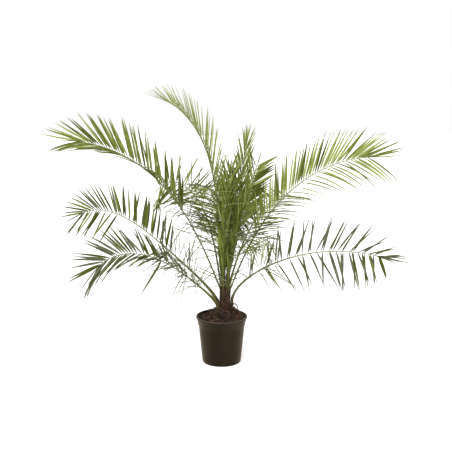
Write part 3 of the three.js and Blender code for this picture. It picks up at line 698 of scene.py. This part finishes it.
BLADES = {
    # name: leafy, leaf, tip, last, roll, vee, wide, narrow, spread, sag
    "left_long": (0.42, 0.282, 0.78, 0.72, (-10, -38), 29, 52, (34, 10), (0.72, 1), (0.14, 0)),
    "left_low_back": (0.39, 0.225, 0.85, 0.7, (-50, -88), 24, 66, (30, 14), (1.35, 0.92), (0.03, 0.04)),
    "left_low_front": (0.3, 0.240, 0.85, 0.75, (3, -56), 14, 64, (12, 14), (0.76, 1.02), (0.15, 0.03)),
    "left_tall": (0.34, 0.260, 0.5, 0.3, (-12, -14), 42, 26, (20, 24), (0.9, 0.95), (0.02, 0)),
    "left_back": (0.6, 0.220, 0.7, 0.4, (-50, -80), 8, 82, (50, 70), (0.8, 1.05), (0.05, 0)),
    "right_long": (0.31, 0.260, 0.85, 0.8, (46, 72), 7, 50, (10, 28), (0.95, 0.92), (0, 0.24)),
    "right_low": (0.3, 0.250, 0.5, 0.8, (46, 88), 14, 76, (0, 60), (0.83, 1.12), (0, 0.1)),
    "right_drooping": (0.5, 0.180, 0.9, 0.6, (10, 10), -66, 76, (40, 40), (1, 1), (0.1, 0.1)),
    "back_tall": (0.4, 0.200, 0.6, 0.5, (0, 0), 6, 24, (5, 5), (1, 1), (0, 0)),
    "back_right": (0.5, 0.175, 0.9, 0.6, (95, 100), 6, 42, (46, 46), (0.5, 1), (0.02, 0.02)),
    "back_left": (0.4, 0.190, 0.7, 0.5, (0, 0), 8, 38, (14, 14), (1, 1), (0.02, 0.02)),
    "back_low_left": (0.34, 0.230, 0.7, 0.6, (0, 0), 14, 66, (12, 12), (1, 1), (0.06, 0.06)),
    "back_low_right": (0.34, 0.230, 0.7, 0.6, (10, 10), 12, 66, (12, 12), (1, 1), (0.07, 0.07)),
    "front_arching": (0.36, 0.200, 0.7, 0.6, (0, 0), 4, 74, (30, 30), (1, 1), (0.1, 0.1)),
    "front_left": (0.1, 0.210, 0.8, 0.6, (0, 0), 6, 12, (26, 26), (1, 1), (0.02, 0.02)),
    "front_right": (0.1, 0.220, 0.8, 0.6, (0, 0), 10, 14, (26, 26), (1, 1), (0.02, 0.02)),
}
PATH_FIELDS = "turn seat rise end bend hook length base".split()
BLADE_FIELDS = "leafy leaf tip last roll vee wide narrow spread sag".split()
FIELDS = PATH_FIELDS + BLADE_FIELDS
FRONDS = {"frond_" + name: dict(zip(FIELDS, path + BLADES[name])) for name, path in FRONDS.items()}
HOOK_SHARE = 0.06
SEAT_GAP = 0.0003
RIB_STEPS = 96
# Half the rib's width at its foot and at its tip, the least at the petiole's foot, and how far up the
# petiole its broad foot reaches.
RIB_FOOT_HALF = 0.0062
RIB_TIP_HALF = 0.002
PETIOLE_LEAST_HALF = 0.0042
PETIOLE_FOOT_SHARE = 0.12


def along_at(frond, share):
    """Direction of the rib at each share: at the frond's turn, and at the slope rise + (end - rise)
    share ** bend + hook exp(-share / hook share)."""
    share = np.clip(share, 0, 1)
    slope = frond["rise"] + (frond["end"] - frond["rise"]) * share ** frond["bend"]
    slope = np.radians(slope + frond["hook"] * np.exp(-share / HOOK_SHARE))
    return outward(math.radians(frond["turn"]), slope)


def seat_of(frond):
    """Where the petiole's foot sits: out from the stem's axis, at its own angle and height."""
    round_at, out, up = frond["seat"]
    return np.array([STEM_X, 0, up]) + out * outward(math.radians(round_at), 0)


def rib_path(frond):
    """The rib as short straight steps from the seat, each along the slope in its middle."""
    middles = (np.arange(RIB_STEPS) + 0.5) / RIB_STEPS
    steps = along_at(frond, middles) * frond["length"] / RIB_STEPS
    start = seat_of(frond) + SEAT_GAP * along_at(frond, np.zeros(1))[0]
    return np.vstack([start, start + np.cumsum(steps, axis=0)])


def smooth_step(value):
    """3 v^2 - 2 v^3 of the value held between 0 and 1."""
    held = np.clip(value, 0, 1)
    return held * held * (3 - 2 * held)


def rib_frame(frond, share):
    """Point, along, side and up of the rib at each share. The blade rolls about its rib by the frond's own
    roll, which comes in along the petiole and changes evenly from there to the tip."""
    path = rib_path(frond)
    at = np.linspace(0, 1, RIB_STEPS + 1)
    point = np.column_stack([np.interp(share, at, path[:, k]) for k in range(3)])
    along = along_at(frond, share)
    turn = math.radians(frond["turn"])
    level = np.array([-math.sin(turn), math.cos(turn), 0])
    square = np.cross(along, level)
    onward = np.clip((share - frond["leafy"]) / (1 - frond["leafy"]), 0, 1)
    start, tip = np.radians(frond["roll"])
    roll = ((start + (tip - start) * onward) * smooth_step(share / frond["leafy"]))[:, None]
    side = level * np.cos(roll) + square * np.sin(roll)
    up = square * np.cos(roll) - level * np.sin(roll)
    return point, along, side, up


def rib_half_width(frond, share):
    """Half the rib's width: it narrows evenly from foot to tip, and near its foot goes over to half the
    petiole's base as exp(-share / foot share)."""
    even = RIB_FOOT_HALF + (RIB_TIP_HALF - RIB_FOOT_HALF) * share
    base = max(frond["base"] / 2, PETIOLE_LEAST_HALF)
    return even + (base - even) * np.exp(-share / PETIOLE_FOOT_SHARE)


# A stalk in section: a shallow channel above, sharp shoulders, and a rounded keel below.
STALK = np.array([
    [1.0, 0.32], [0.72, 0.52], [0.32, 0.4], [0, 0.34], [-0.32, 0.4], [-0.72, 0.52], [-1.0, 0.32],
    [-0.86, -0.22], [-0.5, -0.7], [0, -0.95], [0.5, -0.7], [0.86, -0.22],
])
STALK_RINGS = 80
SHEATH_LENGTH = 0.105
SHEATH_RINGS = 11


def rib_solid(frond):
    """The stalk's section swept from its tip back to the seat, and on down the stem as a sheath that lies
    on the bark and grows broad and thin."""
    share = np.linspace(0, 1, STALK_RINGS)
    point, along, side, up = rib_frame(frond, share)
    half = rib_half_width(frond, share)
    down = np.linspace(1, 0, SHEATH_RINGS, endpoint=False)
    straight = point[0] - along[0] * (SHEATH_LENGTH * down)[:, None]
    level = outward(math.radians(frond["seat"][0]), 0)
    below_seat = point[0, 2] - straight[:, 2]
    clasped = np.maximum(stem_radius(straight[:, 2]) + 0.001, frond["seat"][1] - 0.1 * below_seat)
    on_bark = np.array([STEM_X, 0, 0]) + level * clasped[:, None]
    on_bark[:, 2] = straight[:, 2]
    below = straight + (on_bark - straight) * smooth_step(down * 5)[:, None]
    widths = np.concatenate([half[0] * (1 + 0.7 * smooth_step(down * 1.2)), half])
    heights = np.concatenate([half[0] * (1 - 0.6 * down), half])
    sides, ups = (np.vstack([np.repeat(way[:1], SHEATH_RINGS, 0), way]) for way in (side, up))
    return swept(np.vstack([below, point]), -sides, ups, STALK, widths, heights)


def stalk_green():
    """Smooth waxy stalk: brown where it clasps the stem, green above, and pale yellow-green far out, by
    the distance from the stem's axis and, near the stem, by the height plus four times that distance."""
    finish = Finish("waxy_stalk", 0.55, 0.15)
    level = {0: finish.place(), 1: (1, 1, 0)}
    level = wired(finish.tree, "ShaderNodeVectorMath", level, operation="MULTIPLY").outputs["Vector"]
    reach = {0: level, 1: (STEM_X, 0, 0)}
    reach = wired(finish.tree, "ShaderNodeVectorMath", reach, operation="DISTANCE").outputs["Value"]
    clear = {0: reach, 1: 4, 2: finish.height()}
    clear = wired(finish.tree, "ShaderNodeMath", clear, operation="MULTIPLY_ADD").outputs["Value"]
    green = finish.between(finish.mottled(60, 0.2), (0.058, 0.062, 0.011), (0.11, 0.112, 0.022))
    pale = finish.between(finish.mottled(60, 0.2), (0.17, 0.18, 0.07), (0.27, 0.28, 0.15))
    olive = finish.between(finish.mottled(60, 0.15), (0.022, 0.012, 0.006), (0.065, 0.045, 0.014))
    outer = finish.between(finish.graded(reach, 0.1, 0.55), green, pale)
    finish.colour(finish.between(finish.graded(clear, 0.5, 0.68), olive, outer))
    finish.raised(finish.mottled(700, 0.1), 0.0003, 0.6)
    return finish.material


stalks = joined([rib_solid(frond) for frond in FRONDS.values()])
ribs = piece("frond_ribs", *stalks, stalk_green(), "leaf", 50)

# The leaflets. Stiff narrow blades, folded upwards along their middle where they leave the rib and flatter
# towards the point. They grow by the rule of the imported solids, closer together and finer. Each tone is
# one piece: the young upper leaves are yellow-green, partly their own colour and partly painted sunlight,
# the old low ones dull, and the darkest tone, near-black green, is painted shade.
LEAFLET_STEP = 0.0150
LEAFLET_WIDTH = 0.0163
# A blade's rings: how far along it each lies, its width there as a share of the widest, and the fold of
# its halves in degrees.
LEAFLET_FORM = np.array([
    [0, 0.06, 0.16, 0.3, 0.46, 0.62, 0.78, 0.91],
    [0.4, 0.7, 0.93, 1.0, 0.93, 0.76, 0.5, 0.25],
    [58, 38, 28, 23, 20, 17, 14, 11],
])
LEAFLET_THICKNESS = 0.0007
# Where only some leaflets of a row grow, those stay whose number x golden share, less its whole part, is
# under the share that grows.
GOLDEN_SHARE = 0.618
# The brightest tone is partly the young leaves' own yellow-green and partly painted sunlight; the deepest,
# near-black green, is painted shade.
TONES = {
    "leaflets_young_and_lit": ((0.172, 0.208, 0.042), (0.275, 0.318, 0.1)),
    "leaflets_green": ((0.092, 0.119, 0.016), (0.168, 0.198, 0.036)),
    "leaflets_painted_shade": ((0.034, 0.048, 0.003), (0.08, 0.1, 0.009)),
    "leaflets_dull": ((0.056, 0.061, 0.03), (0.13, 0.137, 0.075)),
}
TONE_NAMES = list(TONES)
# How each frond's leaflets stand. uneven: how far they stray. bunch: how far they lean together in fours.
# weak: thin leaflets along each edge of the petiole. tones: the percentage of each tone. left and right of
# the rib: the width against the usual at the first leaflet and at the tip, and the percentage that grows
# at the first leaflet, half way and at the tip.
LEAFING = {
    # name: uneven, bunch, weak, tones, left, right
    "left_long": (0.6, 0.15, 18, (12, 60, 28, 0), (0.95, 0.8, 50, 95, 100), (1.15, 0.88, 60, 95, 100)),
    "left_low_back": (0.9, 0.35, 22, (2, 38, 36, 24), (1, 0.85, 0, 5, 95), (1, 0.8, 60, 85, 100)),
    "left_low_front": (0.8, 0.4, 20, (0, 5, 40, 55), (0.85, 0.8, 10, 85, 100), (1.1, 0.9, 35, 95, 100)),
    "left_tall": (0.7, 0.4, 16, (90, 10, 0, 0), (0.6, 0.4, 100, 100, 80), (0.6, 0.4, 80, 90, 80)),
    "left_back": (0.9, 0.5, 18, (15, 55, 30, 0), (0.8, 1, 30, 60, 90), (0.7, 0.9, 50, 75, 100)),
    "right_long": (0.6, 0.2, 14, (45, 47, 8, 0), (0.68, 0.9, 100, 100, 90), (0.32, 0.75, 70, 33, 75)),
    "right_low": (1.1, 0.9, 14, (0, 5, 25, 70), (0.8, 0.6, 60, 65, 95), (0.7, 0.95, 10, 60, 100)),
    "right_drooping": (1.5, 0.3, 4, (10, 50, 20, 20), (0.3, 0.25, 100, 100, 100), (0.3, 0.25, 100, 100, 100)),
    "back_tall": (0.6, 0.3, 4, (60, 40, 0, 0), (0.9, 0.55, 100, 100, 100), (0.9, 0.55, 100, 100, 100)),
    "back_right": (0.5, 0.2, 6, (25, 50, 25, 0), (0.8, 0.6, 50, 50, 60), (0.95, 0.9, 100, 100, 100)),
    "back_left": (0.8, 0.2, 4, (35, 55, 10, 0), (1, 0.7, 100, 100, 100), (1, 0.7, 100, 100, 100)),
    "back_low_left": (0.7, 0.3, 12, (0, 60, 40, 0), (0.8, 0.5, 70, 90, 90), (0.8, 0.5, 70, 90, 90)),
    "back_low_right": (0.7, 0.3, 6, (0, 60, 40, 0), (0.8, 0.5, 70, 90, 90), (0.8, 0.5, 70, 90, 90)),
    "front_arching": (0.6, 0.3, 8, (15, 60, 25, 0), (0.22, 0.2, 40, 40, 40), (0.5, 0.36, 90, 90, 100)),
    "front_left": (0.9, 0.3, 3, (15, 40, 45, 0), (0.9, 0.5, 90, 90, 100), (0.9, 0.5, 90, 90, 100)),
    "front_right": (0.9, 0.3, 3, (10, 35, 55, 0), (0.9, 0.5, 90, 100, 100), (0.9, 0.5, 90, 100, 100)),
}
for name, values in LEAFING.items():
    FRONDS["frond_" + name].update(zip("uneven bunch weak tones left right".split(), values))


def blade_row(foot, way, face, length, width, sag, bow, twist, kind=0):
    """Blades as a dict of arrays, with one value for each: the foot's place, the way it goes, the way its
    face looks, its length, width, sag, bow and twist, and its tone's number. A single value is for all."""
    values = {"length": length, "width": width, "sag": sag, "bow": bow, "twist": twist, "kind": kind}
    values = {key: np.broadcast_to(value, len(way)) for key, value in values.items()}
    return {"foot": foot, "way": way, "face": face, **values}


def leaflet_row(frond, hand, draw):
    """One side of a frond. a runs from 0 at the first leaflet to 1 at the tip; the angle to the rib goes
    from wide to narrow with a ** 5, the lift out of the blade's plane is vee (1 - a / 2), and the length
    is leaf min(1, 0.85 + a) (1 - (1 - tip) a^5). Bunched leaflets start closer together in fours too."""
    uneven, bunch = frond["uneven"], frond["bunch"]
    row, edge = (0, frond["left"]) if hand > 0 else (1, frond["right"])
    leafy_part = 1 - frond["leafy"]
    full = round(leafy_part * frond["length"] / LEAFLET_STEP)
    number = np.arange(full)
    drawn_in = 0.2 * bunch * (1.5 - number % 4)
    a = (number + 0.5 + drawn_in + draw.uniform(-0.3, 0.3, full) * uneven) / full
    stays = (number * GOLDEN_SHARE) % 1 < np.interp(a, [0, 0.5, 1], np.array(edge[2:]) / 100)
    a, number = np.clip(a[stays], 0, 0.995), number[stays]
    count = len(a)
    share = frond["leafy"] + leafy_part * a
    point, along, side, up = rib_frame(frond, share)
    first, last = frond["wide"] * frond["spread"][row], frond["narrow"][row]
    angle = np.radians(first + (last - first) * a**5)
    lean = draw.normal(0, 5 * bunch, full // 4 + 1)[number // 4] + 6 * bunch * (number % 4 - 1.5)
    angle = angle + np.radians(lean + draw.normal(0, 3.5 * uneven, count))
    lift = np.radians(frond["vee"] * (1 - 0.5 * a) + draw.normal(0, 8 * uneven, count) * (1.2 - 0.8 * a))
    c, s, f, h = (value[:, None] for value in (np.cos(angle), np.sin(angle), np.cos(lift), np.sin(lift)))
    way = unit(along * c + side * (hand * s * f) + up * (s * h))
    length = frond["leaf"] * np.minimum(1, 0.85 + a) * (1 - (1 - frond["tip"]) * a**5)
    length = length * (1 - 0.1 * uneven * draw.uniform(0, 1, count))
    half = rib_half_width(frond, share)[:, None]
    return blade_row(
        point + side * (hand * 0.72 * half) + up * (0.2 * half), way,
        square_to(way, up * f - side * (hand * h)), length,
        width=LEAFLET_WIDTH * np.interp(a, [0, 1], edge[:2]) * draw.uniform(0.86, 1.1, count),
        sag=frond["sag"][row] + 0.03 * uneven * draw.uniform(0, 1, count),
        bow=draw.normal(0, 0.022 * uneven, count),
        twist=draw.normal(0, 0.35 * uneven, count),
    )


def end_leaflet(frond, draw):
    """The last leaflet, in line with the rib's tip."""
    point, along, _, up = rib_frame(frond, np.ones(1))
    return blade_row(
        point, along, up, frond["last"] * frond["leaf"], 0.55 * LEAFLET_WIDTH, frond["sag"][0],
        bow=draw.normal(0, 0.02, 1), twist=draw.normal(0, 0.3, 1),
    )


# One old leaflet of the low front frond has bent over at its foot and hangs.
BENT_SHARE = 0.53
BENT_WAY = np.array([[-0.52, -0.08, -0.85]])
BENT_LENGTH = 0.235
BENT_WIDTH = 0.0150


def bent_leaflet(frond):
    """A leaflet from the rib at the bent share, which hangs the bent way with its face to the front."""
    point, _, _, _ = rib_frame(frond, np.array([BENT_SHARE]))
    way = unit(BENT_WAY)
    face = square_to(way, np.array([0, -1.0, 0]))
    # The hanging leaflet takes the darkest tone, which is painted shade.
    kind = TONE_NAMES.index("leaflets_painted_shade")
    return blade_row(point, way, face, BENT_LENGTH, BENT_WIDTH, sag=0.04, bow=0.03, twist=0.3, kind=kind)


# The low right frond ends in a brush of leaflets nearly in line with its rib.
BRUSH_ANGLES = np.radians([-7, 0, 8, 14, 20])
BRUSH_LENGTHS = np.array([0.155, 0.185, 0.195, 0.18, 0.145])


def tip_brush(frond):
    """Leaflets from the rib's last 4%, turned off it in the blade's plane by the brush's angles."""
    point, along, side, up = rib_frame(frond, np.linspace(0.96, 1, len(BRUSH_ANGLES)))
    way = along * np.cos(BRUSH_ANGLES)[:, None] + side * np.sin(BRUSH_ANGLES)[:, None]
    width, kind = 0.6 * LEAFLET_WIDTH, TONE_NAMES.index("leaflets_dull")
    return blade_row(point, way, up, BRUSH_LENGTHS, width, sag=0.02, bow=0, twist=0.2, kind=kind)


def stacked(rows):
    """Several dicts of arrays as one."""
    return {key: np.concatenate([row[key] for row in rows]) for key in rows[0]}


def blades(row, form, thickness):
    """Closed folded blades. At share s the groove lies at foot + way L s - Z sag L s^2 + across bow L s^2;
    the edges stand off it by half the width times (cos fold across, sin fold face), turned about the
    blade by twist s, and the keel lies under it by the thickness. All end in one point at s = 1."""
    rings, swell, fold = form
    s, swell, fold = rings[:, None], swell[:, None], np.radians(fold)[:, None]
    foot, way, face = (row[key][:, None] for key in ("foot", "way", "face"))
    measures = ("length", "width", "sag", "bow", "twist")
    length, width, sag, bow, twist = (row[key][:, None, None] for key in measures)
    across = np.cross(way, face)

    def centre(part):
        fall = np.array([0, 0, -1]) * sag + across * bow
        return foot + way * length * part + fall * length * part**2

    turn, half = twist * s, width * swell / 2
    sideways = across * np.cos(turn) + face * np.sin(turn)
    upward = face * np.cos(turn) - across * np.sin(turn)
    groove = centre(s)
    left = groove - sideways * half * np.cos(fold) + upward * half * np.sin(fold)
    right = groove + sideways * half * np.cos(fold) + upward * half * np.sin(fold)
    keel = groove - upward * thickness
    ring = np.stack([left, keel, right, groove], axis=2)
    tip = centre(np.ones((1, 1, 1)))
    count, steps = ring.shape[:2]
    points = np.concatenate([ring.reshape(count, -1, 3), tip], axis=1)
    start = (points.shape[1] * np.arange(count))[:, None, None]
    index = start + np.arange(steps * 4).reshape(1, steps, 4)
    end, last = index[:, -1], np.broadcast_to(start[:, 0] + steps * 4, (count, 4))
    tips = np.stack([end, np.roll(end, -1, axis=-1), last], axis=-1).reshape(-1, 3)
    return points.reshape(-1, 3), [ring_quads(index), tips, index[:, 0, ::-1]]


def leaf_green(name, dark, light):
    """A waxy leaflet: two greens in soft patches, satin, with a fine unevenness."""
    finish = Finish(name, 0.5, 0.12)
    finish.colour(finish.between(finish.mottled(26, 1, 0.3, 0.7), dark, light))
    finish.rough(finish.mottled(60), 0.42, 0.6)
    finish.raised(finish.mottled(420), 0.0003, 0.5)
    return finish.material


rows = []
for frond in FRONDS.values():
    row = stacked([leaflet_row(frond, 1, rng), leaflet_row(frond, -1, rng), end_leaflet(frond, rng)])
    row["kind"] = rng.choice(len(TONES), len(row["kind"]), p=np.array(frond["tones"]) / 100)
    rows.append(row)
rows += [bent_leaflet(FRONDS["frond_left_low_front"]), tip_brush(FRONDS["frond_right_low"])]
leaflets = stacked(rows)
for number, (name, (dark, light)) in enumerate(TONES.items()):
    chosen = {key: value[leaflets["kind"] == number] for key, value in leaflets.items()}
    solids = blades(chosen, LEAFLET_FORM, LEAFLET_THICKNESS)
    piece(name, *solids, leaf_green(name, dark, light), "leaf")

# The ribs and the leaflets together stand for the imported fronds.
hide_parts(*FRONDS)

# The lowest leaflets of each frond are thin and weak, and bend and cross each other; below them, down the
# petiole, they are reduced to stiff spines.
THIN_FORM = np.array([
    [0, 0.15, 0.35, 0.55, 0.75, 0.9],
    [0.5, 0.85, 1.0, 0.9, 0.7, 0.4],
    [50, 40, 34, 30, 26, 20],
])
# Where they grow, as shares of the petiole, then their shortest and longest, their width and their sag.
THIN_LEAFLETS = ((0.6, 1.2), (0.13, 0.28), 0.0070, 0.1)
THIN_THICKNESS = 0.0006
SPINES = ((0.3, 0.7), (0.04, 0.1), 0.0026, 0.02)
SPINE_THICKNESS = 0.0008
SPINE_COUNT = 6


def thin_row(frond, hand, count, span, lengths, width, sag, draw):
    """Weak leaflets or spines on one side of a petiole, at random shares of the span, in all planes."""
    share = draw.uniform(span[0] * frond["leafy"], span[1] * frond["leafy"], count)
    point, along, side, up = rib_frame(frond, share)
    angle = np.radians(draw.uniform(38, 86, count))[:, None]
    lift = np.radians(draw.normal(12, 30, count))[:, None]
    across = side * (hand * np.sin(angle) * np.cos(lift))
    way = unit(along * np.cos(angle) + across + up * np.sin(angle) * np.sin(lift))
    foot = point + side * (hand * 0.7 * rib_half_width(frond, share)[:, None])
    return blade_row(
        foot, way, square_to(way, up), draw.uniform(*lengths, count), width * draw.uniform(0.8, 1.2, count),
        sag * draw.uniform(0.2, 1.4, count), draw.normal(0, 0.05, count), draw.normal(0, 0.6, count),
    )


thin_rows, spine_rows = [], []
for frond in FRONDS.values():
    for hand in (1, -1):
        thin_rows.append(thin_row(frond, hand, frond["weak"], *THIN_LEAFLETS, rng))
        spine_rows.append(thin_row(frond, hand, SPINE_COUNT, *SPINES, rng))
thin = blades(stacked(thin_rows), THIN_FORM, THIN_THICKNESS)
spines = blades(stacked(spine_rows), THIN_FORM, SPINE_THICKNESS)
piece("thin_leaflets", *thin, leaf_green("thin_leaf", (0.11, 0.125, 0.05), (0.21, 0.225, 0.11)), "leaf")
piece("petiole_spines", *spines, leaf_green("spine", (0.13, 0.15, 0.06), (0.24, 0.25, 0.12)), "leaf")

# The litter. Fibre and strips torn from the old sheaths are heaped round the stem's foot, up to where the
# low petioles come out of it, and have curled as they dried.
HEAP_OUTLINE = np.array([
    [0, 0.106], [0.012, 0.098], [0.026, 0.085], [0.042, 0.068], [0.056, 0.052], [0.066, 0.030],
])
HEAP_HEIGHT = HEAP_OUTLINE[-1, 0]
HEAP_RINGS = 16
HEAP_SEGMENTS = 96
HEAPED_SHARE = 0.7
STRIP_THICKNESS = 0.0007
LITTER_KINDS = {
    "sheath_strips_brown": (560, (0.006, 0.003, 0.002), (0.036, 0.019, 0.011)),
    "sheath_strips_red": (300, (0.055, 0.02, 0.009), (0.15, 0.06, 0.03)),
    "sheath_strips_straw": (100, (0.08, 0.052, 0.026), (0.22, 0.15, 0.08)),
}


def heap_radius(high):
    """The heap's radius at a height above the soil's level."""
    return np.interp(high, *HEAP_OUTLINE.T)


def heap_solid():
    """A lumpy cone turned about the stem's axis, its surface in and out by 5 mm."""
    high = np.linspace(0, HEAP_HEIGHT, HEAP_RINGS)
    slope = np.column_stack([heap_radius(high), SOIL_LEVEL + high])
    sunk = SOIL_LEVEL - 0.004
    profile = np.vstack([[[0, sunk], [0.09, sunk]], slope, [[0, SOIL_LEVEL + HEAP_HEIGHT]]])

    def lumpy(grid):
        x, y, z = grid[..., 0], grid[..., 1], grid[..., 2]
        rough = 0.004 * lumps(x + z, y - z, 0.03, 4) + 0.0015 * lumps(x - z, y + z, 0.009, 5)
        out = np.maximum(np.hypot(x, y), 1e-6)
        grid[..., 0] = x * (1 + rough / out) + STEM_X
        grid[..., 1] = y * (1 + rough / out)
        return grid

    points, faces = turned(profile, HEAP_SEGMENTS, lumpy)
    points[-2:, :2] = STEM_X, 0
    return points, faces


litter = fibrous("litter", (0.005, 0.003, 0.002), (0.034, 0.018, 0.01))
piece("litter_heap", *heap_solid(), litter, "stem", 80)


def litter_row(count, draw):
    """Strips that stick out of the heap and droop, or lie on the soil beside it. high is how far up a
    strip starts."""
    level, around = round_axis(draw.uniform(0, 2 * np.pi, count))
    heaped = draw.uniform(0, 1, count) < HEAPED_SHARE
    high = np.where(heaped, HEAP_HEIGHT * draw.uniform(0.1, 1, count), 0)
    on_heap = heap_radius(high) - draw.uniform(0, 0.008, count)
    beside = heap_radius(0) + np.abs(draw.normal(0, 0.02, count))
    feet = np.array([STEM_X, 0, 0]) + level * np.where(heaped, on_heap, beside)[:, None]
    from_middle = np.hypot(feet[:, 0], feet[:, 1])
    feet *= np.minimum(1, (SOIL_RADIUS - 0.014) / from_middle)[:, None]
    room = np.clip(SOIL_RADIUS - from_middle, 0.012, 0.045)
    feet[:, 2] = np.where(heaped, SOIL_LEVEL + high, soil_height(feet[:, 0], feet[:, 1]))
    rise = np.where(heaped, draw.uniform(-0.4, 0.8, count), draw.uniform(0.1, 0.5, count))
    way = level * draw.normal(0.35, 0.35, (count, 1)) + around * draw.normal(0, 0.8, (count, 1))
    way = unit(way + [0, 0, 1] * rise[:, None])
    return blade_row(
        feet, way, square_to(way, np.array([0, 0, 1])), room * draw.uniform(0.5, 1.0, count),
        width=draw.uniform(0.004, 0.01, count), sag=0.25 + draw.uniform(0.1, 0.8, count) * (0.5 + rise),
        bow=draw.normal(0, 0.3, count), twist=draw.normal(0, 1.2, count),
    )


for name, (count, dark, light) in LITTER_KINDS.items():
    strips = blades(litter_row(count, rng), THIN_FORM, STRIP_THICKNESS)
    piece(name, *strips, fibrous(name, dark, light), "stem", 60)

# The spear. The newest leaf is still closed: all its leaflets lie folded along its rib in one sword,
# which stands up out of the middle of the crown. Its near-black green is painted shade in the crown's middle.
SPEAR = {
    "seat": (302, 0.014, 0.455), "turn": 350, "rise": 87, "end": 87, "bend": 1, "hook": 0, "length": 0.690,
    "leafy": 0.3, "roll": (90, 90),
}
SPEAR_WIDTH = 0.032
SPEAR_DEPTH = 0.012
SPEAR_RINGS = 44
SPEAR_FOLDS = 20


def spear_solid():
    """A star of folds swept up the spear, widest below its tip and closing to a point."""
    share = np.linspace(0, 1, SPEAR_RINGS)
    point, _, side, up = rib_frame(SPEAR, share)
    fold = np.arange(SPEAR_FOLDS)
    angle = 2 * np.pi * fold / SPEAR_FOLDS
    outline = np.column_stack([np.cos(angle), np.sin(angle)]) * (1 - 0.16 * (fold % 2))[:, None]
    size = np.interp(share, [0, 0.12, 0.5, 0.8, 1], [0.36, 0.45, 0.75, 1, 0.03])
    return swept(point, -side, up, outline, SPEAR_WIDTH / 2 * size, SPEAR_DEPTH / 2 * size)


# Painted shade: the spear's greens are near-black.
spear_shade_green = leaf_green("spear", (0.02, 0.034, 0.006), (0.05, 0.075, 0.014))
spear = piece("spear_leaf_folded", *spear_solid(), spear_shade_green, "leaf", 20)
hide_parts("spear_leaf")

# The studio: a wide white floor under an even white sky, with one soft lamp high to the front left.
FLOOR_HALF = 30.0
floor_points = np.array([[-1, -1, 0], [1, -1, 0], [1, 1, 0], [-1, 1, 0]]) * FLOOR_HALF
floor_mesh = bpy.data.meshes.new("floor")
floor_mesh.from_pydata(floor_points.tolist(), [], [[0, 1, 2, 3]])
floor = placed("floor", floor_mesh)
paper = Finish("white_floor", 0.9, 0.1)
paper.inputs["Base Color"].default_value = (0.98, 0.98, 0.98, 1)
paper.inputs["Emission Color"].default_value = (1, 1, 1, 1)
paper.inputs["Emission Strength"].default_value = 0.15
floor_mesh.materials.append(paper.material)

sky = bpy.data.worlds.new("studio")
sky.use_nodes = True
sky.node_tree.nodes["Background"].inputs["Color"].default_value = (1, 1, 1, 1)
sky.node_tree.nodes["Background"].inputs["Strength"].default_value = 1.0
bpy.context.scene.world = sky

lamp_data = bpy.data.lights.new("soft_lamp", "SUN")
lamp_data.energy = 2.4
lamp_data.angle = math.radians(60)
lamp = placed("soft_lamp", lamp_data)
lamp.rotation_euler = (math.radians(38), math.radians(-14), 0)

# The camera stands where the photograph was taken: 4 m off, at chest height, looking a little down.
CAMERA_PLACE = (0.0255, -4.05, 1.50)
CAMERA_PITCH = -9.71
CAMERA_VIEW = 35.0
camera_data = bpy.data.cameras.new("camera")
camera_data.sensor_width = 36
camera_data.lens = 18 / math.tan(math.radians(CAMERA_VIEW / 2))
camera = placed("camera", camera_data)
camera.location = CAMERA_PLACE
camera.rotation_euler = (math.radians(90 + CAMERA_PITCH), 0, 0)
bpy.context.scene.camera = camera
bpy.context.scene.view_settings.view_transform = "Standard"
